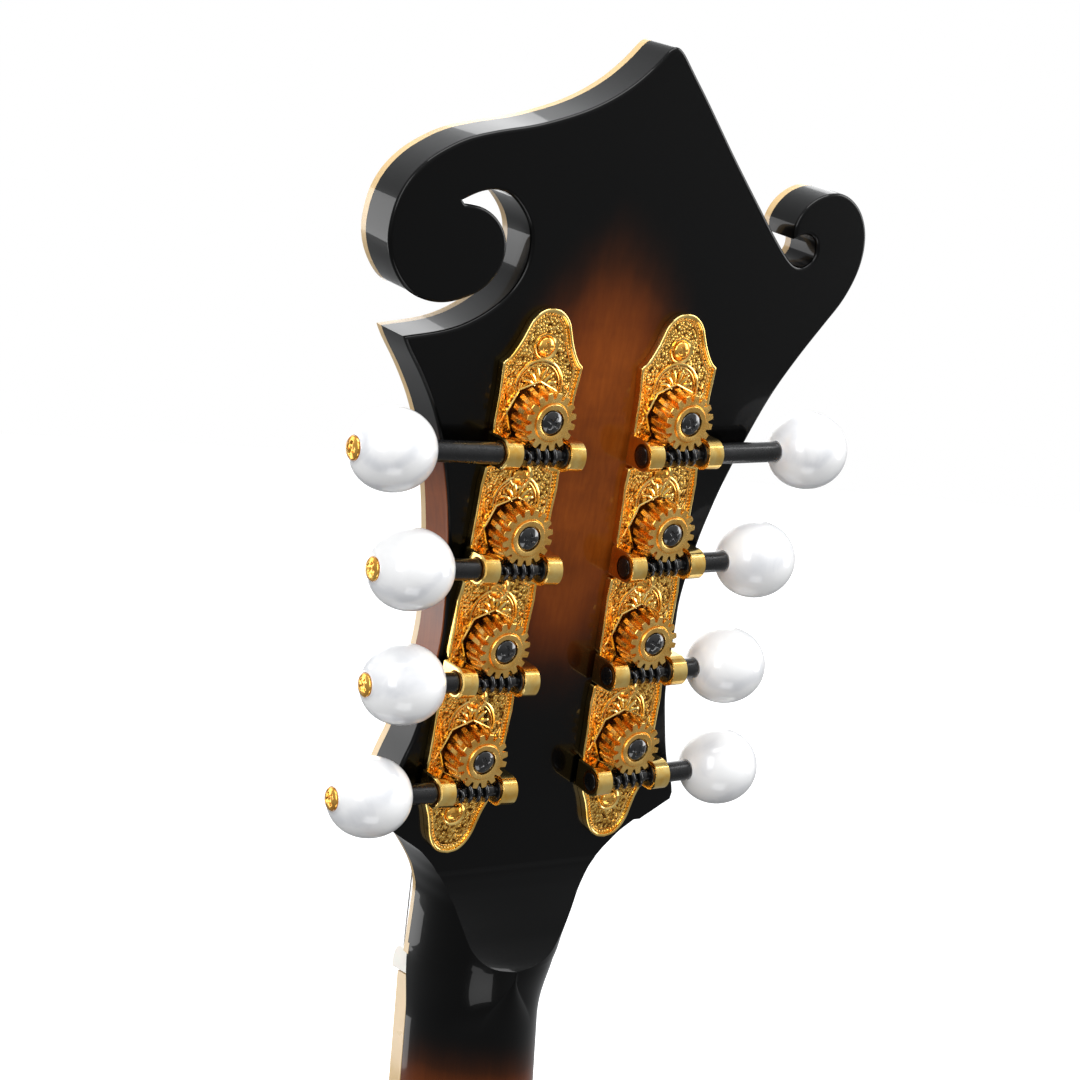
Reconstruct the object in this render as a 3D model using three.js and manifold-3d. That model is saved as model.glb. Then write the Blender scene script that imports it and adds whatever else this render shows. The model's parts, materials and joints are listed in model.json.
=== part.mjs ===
// An F-style mandolin in millimetres. +Z runs up the neck towards the headstock, the strings face -Y and the back faces +Y.
// The origin is the centre of the nut's lower edge on the fingerboard's playing plane.
import * as THREE from "three";
import { mergeVertices } from "three/addons/utils/BufferGeometryUtils.js";
import Module from "manifold-3d";

const wasm = await Module();
wasm.setup();

// ---- driving dimensions ----
const SCALE = 352; // nut to bridge saddle
const NUT_W = 28.6; // neck width at the nut
const HEAD_TILT = (9.65 * Math.PI) / 180; // headstock leans back from the neck
const HEAD_BACK = 13.6; // back plane of the headstock, below the playing plane
const HEAD_CORE = 4.9; // front of the headstock core
const OVERLAY = [3.0, 4.6]; // face veneer and its binding
const FB_T = 4.5; // fingerboard thickness
const NECK_TOP = 4.6; // glue plane under the fingerboard
const NECK_D = 17.3; // depth of the neck's round back at the nut
const BODY_ANGLE = (6 * Math.PI) / 180; // neck pitch against the body
const JOINT_Z = -204; // fifteenth fret, where the neck meets the body
const EDGE_Y = 13.5; // front edge of the ribs at the neck joint
const RIB = 38.3; // depth of the ribs
const PLATE_T = 4.5; // edge thickness of the carved plates
const ARCH = 14; // rise of the carved plates
const COL_X = -1.88; // middle of the two tuner columns
const COL_HALF = 16.56; // column to middle at the top row
const ROW1_Z = 124.66; // top row of string posts
const ROW_P = 23; // spacing of the rows
const SPLAY = 0.031; // each tuner column leans out towards the nut
const BUTTON_OUT = [32.7, 23.9, 20.9, 23.6]; // post axis to button centre
const WORM_DROP = 6.92; // post axis to worm axis
const WORM_H = 5.8; // worm axis above the headstock back
const TEETH = 16;
const PITCH_R = 4.9; // gear pitch radius
const LEAD = (2 * Math.PI * PITCH_R) / TEETH; // one worm turn
const BUTTON_R = 7.9, BUTTON_L = 16.6;
const GAP = 0.12;

// ---- helpers ----
function solid(geo) {
  const g = geo.clone();
  for (const k of Object.keys(g.attributes)) if (k !== "position") g.deleteAttribute(k);
  const m = mergeVertices(g, 1e-4);
  const made = new wasm.Manifold(new wasm.Mesh({ numProp: 3, vertProperties: new Float32Array(m.attributes.position.array), triVerts: new Uint32Array(m.index.array) }));
  return made;
}
function geometryOf(s) {
  const m = s.getMesh(), n = m.numProp, v = new Float32Array(m.numVert * 3);
  for (let i = 0; i < m.numVert; i++) for (let j = 0; j < 3; j++) v[3 * i + j] = m.vertProperties[i * n + j];
  const g = new THREE.BufferGeometry();
  g.setAttribute("position", new THREE.BufferAttribute(v, 3));
  g.setIndex(new THREE.BufferAttribute(new Uint32Array(m.triVerts), 1));
  return g;
}
// a polygon in (x, z) given a thickness from y0 to y1
function prism(pts, y0, y1) {
  const shape = new THREE.Shape(pts.map(([x, z]) => new THREE.Vector2(x, z)));
  const g = new THREE.ExtrudeGeometry(shape, { depth: y1 - y0, bevelEnabled: false });
  g.rotateX(Math.PI / 2); // (x, y, d) becomes (x, -d, y)
  g.translate(0, y1, 0);
  return solid(g);
}
// a polygon in (z, y) swept across x0..x1
function profile(pts, x0, x1) {
  const shape = new THREE.Shape(pts.map(([z, y]) => new THREE.Vector2(z, y)));
  const g = new THREE.ExtrudeGeometry(shape, { depth: x1 - x0, bevelEnabled: false });
  const p = g.attributes.position;
  for (let i = 0; i < p.count; i++) { const z = p.getX(i), y = p.getY(i), x = p.getZ(i) + x0; p.setXYZ(i, x, y, z); }
  const ix = mergeVertices(stripped(g), 1e-4);
  const idx = ix.index.array;
  for (let i = 0; i < idx.length; i += 3) [idx[i + 1], idx[i + 2]] = [idx[i + 2], idx[i + 1]];
  return solid(ix);
}
function stripped(g) { for (const k of Object.keys(g.attributes)) if (k !== "position") g.deleteAttribute(k); return g; }
function block(x0, x1, y0, y1, z0, z1) {
  const g = new THREE.BoxGeometry(x1 - x0, y1 - y0, z1 - z0);
  g.translate((x0 + x1) / 2, (y0 + y1) / 2, (z0 + z1) / 2);
  return solid(g);
}
// a round bar along axis "x", "y" or "z" from a to b, radius ra at a and rb at b
function bar(axis, ra, rb, a, b, seg, p = 0, q = 0) {
  const g = new THREE.CylinderGeometry(rb, ra, b - a, seg);
  g.translate(0, (a + b) / 2, 0);
  if (axis === "x") { g.rotateZ(-Math.PI / 2); g.translate(0, p, q); }
  if (axis === "y") g.translate(p, 0, q);
  if (axis === "z") { g.rotateX(Math.PI / 2); g.translate(p, q, 0); }
  return solid(g);
}
// rings of points joined into one closed skin
function loft(rings) {
  const n = rings[0].length, v = [], t = [];
  for (const r of rings) for (const p of r) v.push(...p);
  for (let k = 0; k + 1 < rings.length; k++)
    for (let i = 0; i < n; i++) {
      const a = k * n + i, b = k * n + ((i + 1) % n), c = a + n, d = b + n;
      t.push(a, b, d, a, d, c);
    }
  const cap = (ring, base, flip) => {
    // each cap triangle turns the same way as its ring, or the other way when flipped
    const P = ring.map((p) => new THREE.Vector2(...flatten(ring, p)));
    const turn = THREE.ShapeUtils.area(P) > 0;
    for (let [a, b, c] of THREE.ShapeUtils.triangulateShape(P.slice(), [])) {
      if (THREE.ShapeUtils.area([P[a], P[b], P[c]]) > 0 !== turn) [b, c] = [c, b];
      flip ? t.push(base + a, base + c, base + b) : t.push(base + a, base + b, base + c);
    }
  };
  cap(rings[0], 0, true);
  cap(rings[rings.length - 1], (rings.length - 1) * n, false);
  const make = (tt) => { const g = new THREE.BufferGeometry(); g.setAttribute("position", new THREE.Float32BufferAttribute(v, 3)); g.setIndex(tt); return g; };
  let s = solid(make(t));
  if (s.volume() < 0) { for (let i = 0; i < t.length; i += 3) [t[i + 1], t[i + 2]] = [t[i + 2], t[i + 1]]; s = solid(make(t)); }
  return s;
}
function flatten(ring, p) {
  // drop the coordinate in which the ring is flattest
  const ext = [0, 1, 2].map((k) => Math.max(...ring.map((q) => q[k])) - Math.min(...ring.map((q) => q[k])));
  const drop = ext.indexOf(Math.min(...ext));
  return p.filter((_, k) => k !== drop);
}
function inPoly(x, z, P) {
  let c = false;
  for (let i = 0, j = P.length - 1; i < P.length; j = i++)
    if (P[i][1] > z !== P[j][1] > z && x < ((P[j][0] - P[i][0]) * (z - P[i][1])) / (P[j][1] - P[i][1]) + P[i][0]) c = !c;
  return c;
}
const MATERIALS = {};
function material(key, color, roughness, metalness) {
  return (MATERIALS[key] ??= new THREE.MeshStandardMaterial({ color, roughness, metalness }));
}
const black = material("lacquer", 0x14100e, 0.15, 0), maple = material("maple", 0x8a4a1c, 0.2, 0), spruce = material("spruce", 0xb86a24, 0.2, 0),
  raw = material("raw", 0xd9b98a, 0.7, 0), ebony = material("ebony", 0x1a1512, 0.5, 0), gold = material("gold", 0xd9a437, 0.2, 1),
  steel = material("steel", 0x9a9a9a, 0.3, 1), blackened = material("blackened", 0x151515, 0.3, 0.8), pearl = material("pearl", 0xeeeeec, 0.25, 0), bone = material("bone", 0xefe9dc, 0.4, 0),
  bronze = material("bronze", 0xb98b55, 0.35, 1);
function add(group, name, s, mat) {
  const mesh = new THREE.Mesh(geometryOf(s), mat);
  mesh.name = name;
  group.add(mesh);
  return mesh;
}

const root = new THREE.Group();
const head = new THREE.Group(); head.rotation.x = -HEAD_TILT; root.add(head);
const body = new THREE.Group(); body.position.set(0, EDGE_Y, JOINT_Z); body.rotation.x = BODY_ANGLE; root.add(body);
root.updateMatrixWorld(true);
const headToRow = head.matrixWorld.clone(), bodyToRow = body.matrixWorld.clone();
function moved(s, m) { const g = geometryOf(s); g.applyMatrix4(m); return solid(g); }

// ---- headstock outline, (across, up) in the headstock's own plane, anticlockwise from the lower corner ----
const HEAD = [
  [-15.8, 6.2], [-16.4, 9.6], [-18.9, 18.6], [-20.3, 23.1], [-22.7, 27.4], [-26, 31.7], [-30.8, 35.8], [-38.6, 39.8], [-38.9, 41.4], [-38.1, 44.2], [-35.8, 49.1], [-31.9, 65.1], [-31, 85],
  [-32.9, 97.9], [-36.7, 110.7], [-44.1, 127.8], [-49.4, 136.3], [-58.4, 148.6], [-60.9, 154.3], [-61.6, 159.4], [-60.6, 164.3], [-57.8, 168.3], [-53.3, 170.7], [-48.2, 170.2], [-44.5, 167.9],
  [-42.4, 165], [-42, 163.3], [-42.4, 160.9], [-46, 162.3], [-48, 161.3], [-48.9, 159.2], [-48.5, 156.7], [-46.5, 155.3], [-45.2, 155.1], [-43.7, 155.6], [-36.3, 162.4], [-7.6, 194.2],
  [-5.3, 196.1], [-4.1, 195.8], [2.5, 188.7], [6.5, 185.8], [14.8, 181.7], [23.2, 179], [37.8, 175.5], [45.5, 171.1], [48.9, 167.5], [50.9, 163.4], [51.6, 157.9], [50.5, 152.9],
  [49.3, 150.7], [46.1, 147.1], [41.9, 145.3], [37.5, 144.9], [33.3, 145.9], [29.5, 147.8], [26.6, 151.3], [25.7, 155.5], [26.8, 158.9], [29.5, 161.7], [32.9, 163.2], [36.4, 163.5],
  [37, 164.1], [31.7, 166.3], [27.5, 166.1], [24.2, 163.7], [21.5, 160.3], [20.5, 156.6], [20.9, 152], [22.7, 148.3], [25.5, 145.3], [29.4, 142.6], [33.5, 140.7], [45.1, 138.4],
  [39.6, 130.4], [35.2, 122.8], [31, 111.1], [28.2, 99.1], [26.4, 85.9], [26, 76.7], [28.8, 57.7], [33.6, 42.4], [33.4, 40.8], [27.5, 36.6], [21.3, 31.3], [18.1, 26.6],
  [16.3, 22], [15.9, 15], [15.8, 6.2],
];

// ---- tuners: one frame per string post, +X out towards the button, +Y out of the back ----
const tuners = [];
for (const [side, S] of [["bass", -1], ["treble", 1]])
  for (let k = 0; k < 4; k++) {
    const g = new THREE.Group();
    const x = COL_X + S * (COL_HALF + k * ROW_P * Math.sin(SPLAY)), z = ROW1_Z - k * ROW_P * Math.cos(SPLAY);
    const X = new THREE.Vector3(S * Math.cos(SPLAY), 0, Math.sin(SPLAY)), Y = new THREE.Vector3(0, 1, 0), Z = new THREE.Vector3().crossVectors(X, Y);
    g.matrixAutoUpdate = false;
    g.matrix.makeBasis(X, Y, Z).setPosition(x, HEAD_BACK, z);
    head.add(g);
    tuners.push({ g, side, S, k, x, z, name: side + "_" + (k + 1) });
  }
root.updateMatrixWorld(true);

// gear with its post, right-hand twist to suit the worm
const TWIST = Math.atan(LEAD / (2 * Math.PI * 2.0)) / PITCH_R; // radians per mm, small-angle
function gearRing(y) {
  const r = [];
  const mid = WORM_H;
  for (let i = 0; i < TEETH; i++) {
    const c = ((i + 0.5) * 2 * Math.PI) / TEETH + (y - mid) * TWIST;
    for (const [da, rr] of [[-6.9, 4.3], [-2.8, 5.4], [2.8, 5.4], [6.9, 4.3]]) {
      const a = c + (da * Math.PI) / 180;
      r.push([rr * Math.sin(a), y, rr * Math.cos(a)]);
    }
  }
  return r;
}
const POST_FRONT = -(HEAD_BACK - OVERLAY[0]) - 11.2; // front end of the posts in the tuner frame
function postSolid() {
  let s = loft([gearRing(3.0), gearRing(7.5)]);
  s = s.add(bar("y", 3.6, 3.6, 7.0, 8.0, 10));
  s = s.add(bar("y", 2.9, 2.9, POST_FRONT, 3.5, 10));
  return s.subtract(bar("x", 0.7, 0.7, -5, 5, 6, POST_FRONT + 4.5, 0));
}
// worm shaft: a single right-hand thread on a thin core between two journals
function wormSolid(out) {
  const n = 8, turns = 3.5, rings = [], prof = [[-0.62, 1.0], [-0.27, 2.35], [0.27, 2.35], [0.62, 1.0]];
  for (let t = 0; t <= turns * n; t++) {
    const th = (2 * Math.PI * t) / n - Math.PI * turns, x0 = (LEAD * th) / (2 * Math.PI);
    rings.push(prof.map(([dx, r]) => [x0 + dx, -r * Math.sin(th), r * Math.cos(th)]));
  }
  let s = loft(rings);
  s = s.add(bar("x", 1.25, 1.25, -5.4, 5.4, n));
  s = s.add(bar("x", 1.95, 1.95, 5.15, out - BUTTON_L / 2 - 0.25, 8));
  s = s.add(bar("x", 1.95, 1.95, -9.3, -5.15, 8));
  return s.add(bar("x", 1.4, 1.4, out - BUTTON_L / 2 - 1, out + 3, 8));
}
function buttonSolid() {
  const rings = [], n = 12, m = 7;
  for (let i = 0; i <= m; i++) {
    const a = -Math.PI / 2 + (Math.PI * i) / m;
    const x = (Math.sign(Math.sin(a)) * Math.pow(Math.abs(Math.sin(a)), 0.9) * BUTTON_L) / 2, r = i === 0 || i === m ? 3.2 : BUTTON_R * Math.pow(Math.cos(a), 0.62);
    rings.push(Array.from({ length: n }, (_, j) => [x, r * Math.cos((2 * Math.PI * j) / n), r * Math.sin((2 * Math.PI * j) / n)]));
  }
  return loft(rings).subtract(bar("x", 1.75, 1.75, -12, 3.6, 8));
}
const buttonShape = buttonSolid(), postShape = postSolid();
for (const t of tuners) {
  const out = BUTTON_OUT[t.k];
  const spin = new THREE.Group();
  spin.position.set(0, WORM_H, -t.S * WORM_DROP);
  if (t.S < 0) spin.rotation.x = Math.PI; // the thread's crest faces the gear
  t.g.add(spin);
  add(t.g, "string_post_" + t.name, postShape, gold);
  add(spin, "worm_shaft_" + t.name, wormSolid(out), blackened);
  const b = add(spin, "tuner_button_" + t.name, buttonShape, pearl);
  b.position.x = out;
}
// tuner plates, in the frame of the top-row post of their column
const PLATE_HALF = [
  [0.0, 20.3], [2.6, 19.6], [4.3, 17.8], [5.0, 15.6], [5.3, 13.6], [6.4, 11.9], [8.5, 10.3], [8.9, 8.0], [8.4, 4.5], [8.0, 0.0], [8.3, -3.0], [9.2, -5.0], [9.2, -9.6],
];
function plateOutline(S) {
  // one side of the outline, from the crest down past four modules to the tail
  const right = [...PLATE_HALF];
  for (let k = 1; k < 4; k++) { const d = -ROW_P * k; right.push([7.2, d + 12.2], [7.6, d + 9.0], [8.0, d + 4.0], [8.0, d], [8.3, d - 3.0], [9.2, d - 5.0], [9.2, d - 9.6]); }
  const e = -ROW_P * 3;
  right.push([7.4, e - 11.2], [5.6, e - 14.4], [4.4, e - 18.2], [2.4, e - 20.8], [0, e - 21.6]);
  const left = right.slice(1, -1).reverse().map(([x, z]) => [-x, z]);
  return [...right, ...left].map(([x, z]) => [x, S * z]);
}
for (const S of [-1, 1]) {
  const t = tuners.find((q) => q.S === S && q.k === 0);
  let out = plateOutline(S);
  if (S > 0) out = out.reverse();
  let s = prism(out, GAP, 1.6);
  for (let k = 0; k < 4; k++) {
    const z = -S * (WORM_DROP + k * ROW_P);
    for (const c of [-7.25, 7.25]) s = s.add(prism([[c - 1.85, z - 3.1], [c + 1.85, z - 3.1], [c + 1.85, z + 3.1], [c - 1.85, z + 3.1]], 1.0, WORM_H)).add(bar("x", 3.1, 3.1, c - 1.85, c + 1.85, 8, WORM_H, z));
    s = s.subtract(bar("y", 3.6, 3.6, -1, 2.4, 8, 0, -S * k * ROW_P));
    s = s.subtract(bar("x", 2.4, 2.4, -12, 12, 8, WORM_H, z));
  }
  add(t.g, "tuner_plate_" + t.side, s, gold);
}

// ---- neck and headstock core, one piece of maple ----
const HEEL_Z = JOINT_Z;
const neckHalf = (z) => (z < 0 ? NUT_W / 2 + (-z * 2.9) / 204 : NUT_W / 2);
const smooth = (t) => { t = Math.min(1, Math.max(0, t)); return t * t * (3 - 2 * t); };
// above the nut the section widens with the headstock and leans to its own middle: [height, half-width, middle]
const FLARE = [[-6, 14.2, 0], [0, 15.0, 0], [6, 15.9, -0.1], [12, 16.6, -0.6], [19, 17.4, -1.3], [24, 19.2, -1.6], [29, 23.0, -1.8]];
function flare(z, k) {
  let i = 0;
  while (i < FLARE.length - 2 && z > FLARE[i + 1][0]) i++;
  const [a, b] = [FLARE[i], FLARE[i + 1]], t = Math.min(1, Math.max(0, (z - a[0]) / (b[0] - a[0])));
  return a[k] + t * (b[k] - a[k]);
}
function neckRing(z) {
  const heel = smooth((-z - 168) / 40), b = NECK_D + (1.8 * Math.max(0, -z)) / 204 + heel * heel * 30, r = [];
  const a = z > -6 ? flare(z, 1) : neckHalf(z) - 0.2, mid = z > -6 ? flare(z, 2) : 0, e = smooth((z + 6) / 12);
  const n = 14, p = 1 + 0.25 * heel + 0.25 * e;
  for (let i = 0; i <= n; i++) {
    const th = (Math.PI * i) / n;
    const w = a * (1 - 0.3 * heel * Math.max(0, Math.sin(th)));
    r.push([mid + w * Math.sign(Math.cos(th)) * Math.pow(Math.abs(Math.cos(th)), 1 / p), NECK_TOP + b * Math.pow(Math.max(0, Math.sin(th)), 0.92 - 0.12 * e), z]);
  }
  return r;
}
// the round neck runs on under the headstock and is cut off by its back plane
const upper = [], TOP_Z = 30;
for (let i = 0; i <= 7; i++) upper.push(-2 + (i * (TOP_Z + 2)) / 7);
const stations = [-216, -207, -200, -193, -186, -178, -168, -140, -90, -45, -14, ...upper.slice(0)];
let shaft = loft(stations.map((z) => neckRing(z)));
// scoop: the headstock's back plane, ramping up to the neck's back behind the nut
const scoop = [];
scoop.push([60, HEAD_BACK], [29, HEAD_BACK], [25, HEAD_BACK + 0.8], [21, HEAD_BACK + 2.3], [17, HEAD_BACK + 4.0], [13.5, HEAD_BACK + 5.4], [10, HEAD_BACK + 7.1], [7.5, HEAD_BACK + 9.0], [6, HEAD_BACK + 11.5], [6, 60], [60, 60]);
shaft = shaft.subtract(moved(profile(scoop, -60, 60), headToRow));
// the part of the shaft inside the headstock also stays behind its face
shaft = shaft.subtract(moved(block(-60, 60, -30, HEAD_CORE, 5.6, 60), headToRow));
// the side walls above the nut follow the headstock outline
const headCore = prism(HEAD, HEAD_CORE, HEAD_BACK);
let neck = shaft.add(moved(headCore, headToRow));
// heel: cut to the body's end face, then the tongue under the fingerboard and the tenon
neck = neck.subtract(moved(block(-100, 100, -80, 120, -80, 0.3), bodyToRow));

// ---- body outline, (across, up) in the body's own plane, neck joint at z = 0 ----
const BODY = [
  [16, 0], [30, -3], [46, -8], [62, -7], [76, 0], [87, 10], [94, 17.5], [96, 18], [95, 14], [89, -6], [83.5, -26], [81.5, -46], [84, -66], [92, -86], [103.5, -103], [116, -117], [123, -123.5], [125.5, -127], [124, -131], [119, -141], [118.5, -153],
  [122, -172], [125.5, -195], [125, -218], [118, -245], [102, -273], [78, -295], [47, -307.5], [16, -311.4], [0, -312], [-16, -311.4], [-47, -307.5], [-78, -295], [-102, -273], [-118, -245], [-126, -218], [-127, -195], [-121.5, -170], [-110.5, -146],
  [-99, -121], [-92, -97], [-91, -75], [-95, -52], [-101.5, -30], [-105.5, -10], [-104.5, 8], [-97, 22], [-85, 31.5], [-71, 34], [-56, 31], [-44.5, 22.5], [-38, 10], [-37, -3], [-41, -15], [-50, -25], [-62, -29], [-74, -26.5], [-82, -18], [-84, -7], [-81, 3], [-77.5, 5.5],
  [-79.5, 8.5], [-85, 7], [-90.5, -4], [-90, -18], [-81.5, -30.5], [-67, -37], [-51, -35], [-37.5, -26], [-29.5, -13.5], [-24, -3], [-16, 0],
];
const CAVITY = [
  [21.6, -26.3], [27, -14.5], [46, -15], [62, -15], [72, -20], [77, -30], [75.5, -48], [78, -68], [86.5, -90], [98, -107], [109, -121.5], [112.5, -140], [112.5, -155], [116, -175], [119.5, -197], [119, -217], [112.5, -242], [97.5, -268.5], [75, -289.5], [45.5, -301.5], [15, -305.4],
  [-15, -305.4], [-45.5, -301.5], [-75, -289.5], [-97.5, -268.5], [-112.5, -242], [-120, -217], [-121, -196], [-116, -172.5], [-105, -148.5], [-93.5, -123], [-86, -98], [-85, -76], [-86.5, -58], [-80, -46], [-64, -43.5], [-48, -41], [-34, -32], [-21.6, -26.3],
];
// rise of the carved plates: a membrane over the outline
const CELL = 5, NX = 55, NZ = 73, GX0 = -135, GZ0 = -320;
const lift = (() => {
  const u = new Float64Array(NX * NZ), inside = new Uint8Array(NX * NZ);
  for (let j = 0; j < NZ; j++) for (let i = 0; i < NX; i++) inside[j * NX + i] = inPoly(GX0 + i * CELL, GZ0 + j * CELL, BODY) ? 1 : 0;
  for (let it = 0; it < 700; it++)
    for (let j = 1; j < NZ - 1; j++)
      for (let i = 1; i < NX - 1; i++) {
        const c = j * NX + i;
        if (inside[c]) u[c] += 1.8 * ((u[c - 1] + u[c + 1] + u[c - NX] + u[c + NX] + 1) / 4 - u[c]);
      }
  const top = Math.max(...u);
  return (x, z) => {
    const fx = Math.min(NX - 1.001, Math.max(0, (x - GX0) / CELL)), fz = Math.min(NZ - 1.001, Math.max(0, (z - GZ0) / CELL));
    const i = Math.floor(fx), j = Math.floor(fz), a = fx - i, b = fz - j, c = j * NX + i;
    const f = ((1 - a) * (1 - b) * u[c] + a * (1 - b) * u[c + 1] + (1 - a) * b * u[c + NX] + a * b * u[c + NX + 1]) / top;
    return ARCH * (0.3 * f + 0.7 * (3 * f * f - 2 * f * f * f));
  };
})();
// the space from y = base to y = -(offset + lift), as a solid over the whole plan; sign -1 for the top, +1 for the back
function carved(offset, base, sign, y0 = 0) {
  const STEP = 18, xs = [], zs = [];
  for (let x = -135; x <= 135; x += STEP) xs.push(x);
  for (let z = -320; z <= 40; z += STEP) zs.push(z);
  const n = xs.length, m = zs.length, v = [], t = [];
  for (const z of zs) for (const x of xs) v.push(x, y0 + sign * (offset + lift(x, z)), z);
  for (const z of zs) for (const x of xs) v.push(x, y0 + sign * base, z);
  const N = n * m, q = (a, b, c, d) => { t.push(a, b, c, a, c, d); };
  for (let j = 0; j + 1 < m; j++) for (let i = 0; i + 1 < n; i++) { const a = j * n + i; q(a, a + 1, a + n + 1, a + n); q(N + a, N + a + n, N + a + n + 1, N + a + 1); }
  for (let i = 0; i + 1 < n; i++) { q(i, N + i, N + i + 1, i + 1); const a = (m - 1) * n + i; q(a, a + 1, N + a + 1, N + a); }
  for (let j = 0; j + 1 < m; j++) { const a = j * n; q(a, a + n, N + a + n, N + a); const b = j * n + n - 1; q(b, N + b, N + b + n, b + n); }
  const g = new THREE.BufferGeometry();
  g.setAttribute("position", new THREE.Float32BufferAttribute(v, 3));
  g.setIndex(t);
  let s = solid(g);
  if (s.volume() < 0) { for (let i = 0; i < t.length; i += 3) [t[i + 1], t[i + 2]] = [t[i + 2], t[i + 1]]; g.setIndex(t); s = solid(g); }
  return s;
}
const topOuter = carved(PLATE_T, -3, -1), topInner = carved(-0.8, -3, -1);
let topPlate = prism(BODY, -40, 0).intersect(topOuter).subtract(topInner);
// f-holes: an upper and a lower eye joined by a leaning stem
const F_HOLE = [
  [43.5, -103], [46.5, -101.5], [49, -103.5], [48.6, -107], [45.9, -108.6], [46.8, -113], [51.5, -124], [56.5, -136], [60.5, -148], [62.2, -158], [61.5, -168], [58.5, -175.5], [54, -179], [49.5, -178.5], [47, -175], [47.8, -171], [51, -169.6], [54, -171.4], [54.4, -173.8], [56.5, -172], [57.8, -166], [57.6, -158],
  [55.2, -149], [50.5, -138], [45.4, -126], [42.2, -115], [41.8, -107],
];
const fBass = F_HOLE.map(([x, z]) => [-x, z]).reverse();
topPlate = topPlate.subtract(prism(F_HOLE, -40, 5)).subtract(prism(fBass, -40, 5));
add(body, "top_plate", topPlate, spruce);
const backPlate = prism(BODY, RIB + 0.3, RIB + 40).intersect(carved(PLATE_T, -3, 1, RIB + 0.3)).subtract(carved(-0.8, -3, 1, RIB + 0.3));
add(body, "back_plate", backPlate, maple);
let ring = prism(BODY, 0.3, RIB).subtract(prism(CAVITY, -5, RIB + 5)).subtract(block(-21.6, 21.6, -5, RIB + 5, -26.3, 10));
ring = ring.subtract(bar("z", 3.3, 3.3, -330, -290, 10, 0, 17));
add(body, "rib_bass", ring.subtract(block(-0.1, 200, -10, 80, -400, 100)), maple);
add(body, "rib_treble", ring.subtract(block(-200, 0.1, -10, 80, -400, 100)), maple);
add(body, "head_block", block(-21.3, 21.3, 0.3, RIB, -26, 0).subtract(block(-7.3, 7.3, -5, 31.3, -12.3, 5)), raw);
const inner = CAVITY.map(([x, z]) => [x * 0.995, -200 + (z + 200) * 0.995]);
add(body, "tail_block", prism(inner, 0.3, RIB).intersect(block(-24, 24, 0.3, RIB, -320, -286)).subtract(bar("z", 3.3, 3.3, -330, -280, 10, 0, 17)), raw);
const barUnder = carved(-1.05, -6, -1), barOver = carved(-10, -6, -1);
for (const [name, x, lean] of [["tone_bar_bass", -24, -4], ["tone_bar_treble", 22, 6]])
  add(body, name, prism([[x - 2.5, -68], [x - 2.5 + lean, -235], [x + 2.5 + lean, -235], [x + 2.5, -68]].reverse(), -20, -0.5).intersect(barUnder).subtract(barOver), raw);

// neck tongue over the top plate, and the tenon into the head block
const tongue = [[-16.9, JOINT_Z + 3], [16.9, JOINT_Z + 3], [18.0, -262], [2, -262], [-17.9, -249]].reverse();
neck = neck.add(prism(tongue, NECK_TOP, 22).subtract(moved(carved(PLATE_T + 0.25, -60, -1), bodyToRow)));
neck = neck.add(moved(block(-7, 7, 1.0, 31, -12, 1.5), bodyToRow));
// truss-rod channel and its pocket behind the nut
neck = neck.subtract(block(-2.7, 2.7, NECK_TOP - 3, 10.6, -190, 5)).subtract(moved(block(-4.4, 4.4, -2, 10.2, 5.9, 24), headToRow)).subtract(moved(block(-2.7, 2.7, -2, 9.8, 0, 8), headToRow));
for (const t of tuners) neck = neck.subtract(moved(bar("y", 3.6, 3.6, -4, 20, 8, t.x, t.z), headToRow));
add(root, "neck", neck, black);
const HEAD_FACE = HEAD.filter(([, z]) => z > 6);
let overlay = prism(HEAD_FACE, OVERLAY[0], OVERLAY[1]).subtract(block(-4.4, 4.4, 0, 8, 0, 24));
for (const t of tuners) overlay = overlay.subtract(bar("y", 3.6, 3.6, -4, 20, 8, t.x, t.z));
add(head, "headstock_overlay", overlay, black);

// ---- truss rod, nut, fingerboard ----
add(root, "truss_rod", block(-2.3, 2.3, 5.1, 9.4, -188, 4.6), steel);
add(head, "truss_rod_nut", bar("z", 3.0, 3.0, 10, 19, 6, 0, 6.6), steel);
let cover = [];
for (const [x, z] of [[10.5, 6.2], [11, 12], [9.6, 20], [7.2, 27], [4.2, 33], [1.6, 38], [0, 39.5]]) cover.push([x, z]);
cover = [...cover, ...cover.slice(0, -1).reverse().map(([x, z]) => [-x, z])];
add(head, "truss_rod_cover", prism(cover, 1.2, OVERLAY[0] - GAP), ebony);
add(root, "nut", profile([[0.15, 4.45], [5.2, 4.45], [5.2, 0.4], [4.3, -1.2], [0.9, -2.2], [0.15, -2.0]], -NUT_W / 2, NUT_W / 2), bone);
const BOARD = [[-NUT_W / 2, -0.15], [NUT_W / 2, -0.15], [18.4, -262], [10, -262], [4, -258], [-6, -250.5], [-18.1, -249]].reverse();
add(root, "fingerboard", prism(BOARD, 0, FB_T), ebony);

// ---- bridge, in the body's plane ----
const BZ = -145.5;
const arch = (half, y) => [[-half, y], [half, y]];
let base = prism([[-50, BZ - 5], [50, BZ - 5], [50, BZ + 5], [-50, BZ + 5]].reverse(), -23.2, -2).subtract(carved(PLATE_T + 0.2, -60, -1));
// the base is relieved between its two feet
base = base.subtract(block(-16, 16, -20.4, 0, BZ - 9, BZ + 9));
for (const x of [-27, 27]) base = base.subtract(bar("y", 1.65, 1.65, -30, -19.6, 10, x, BZ));
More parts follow.
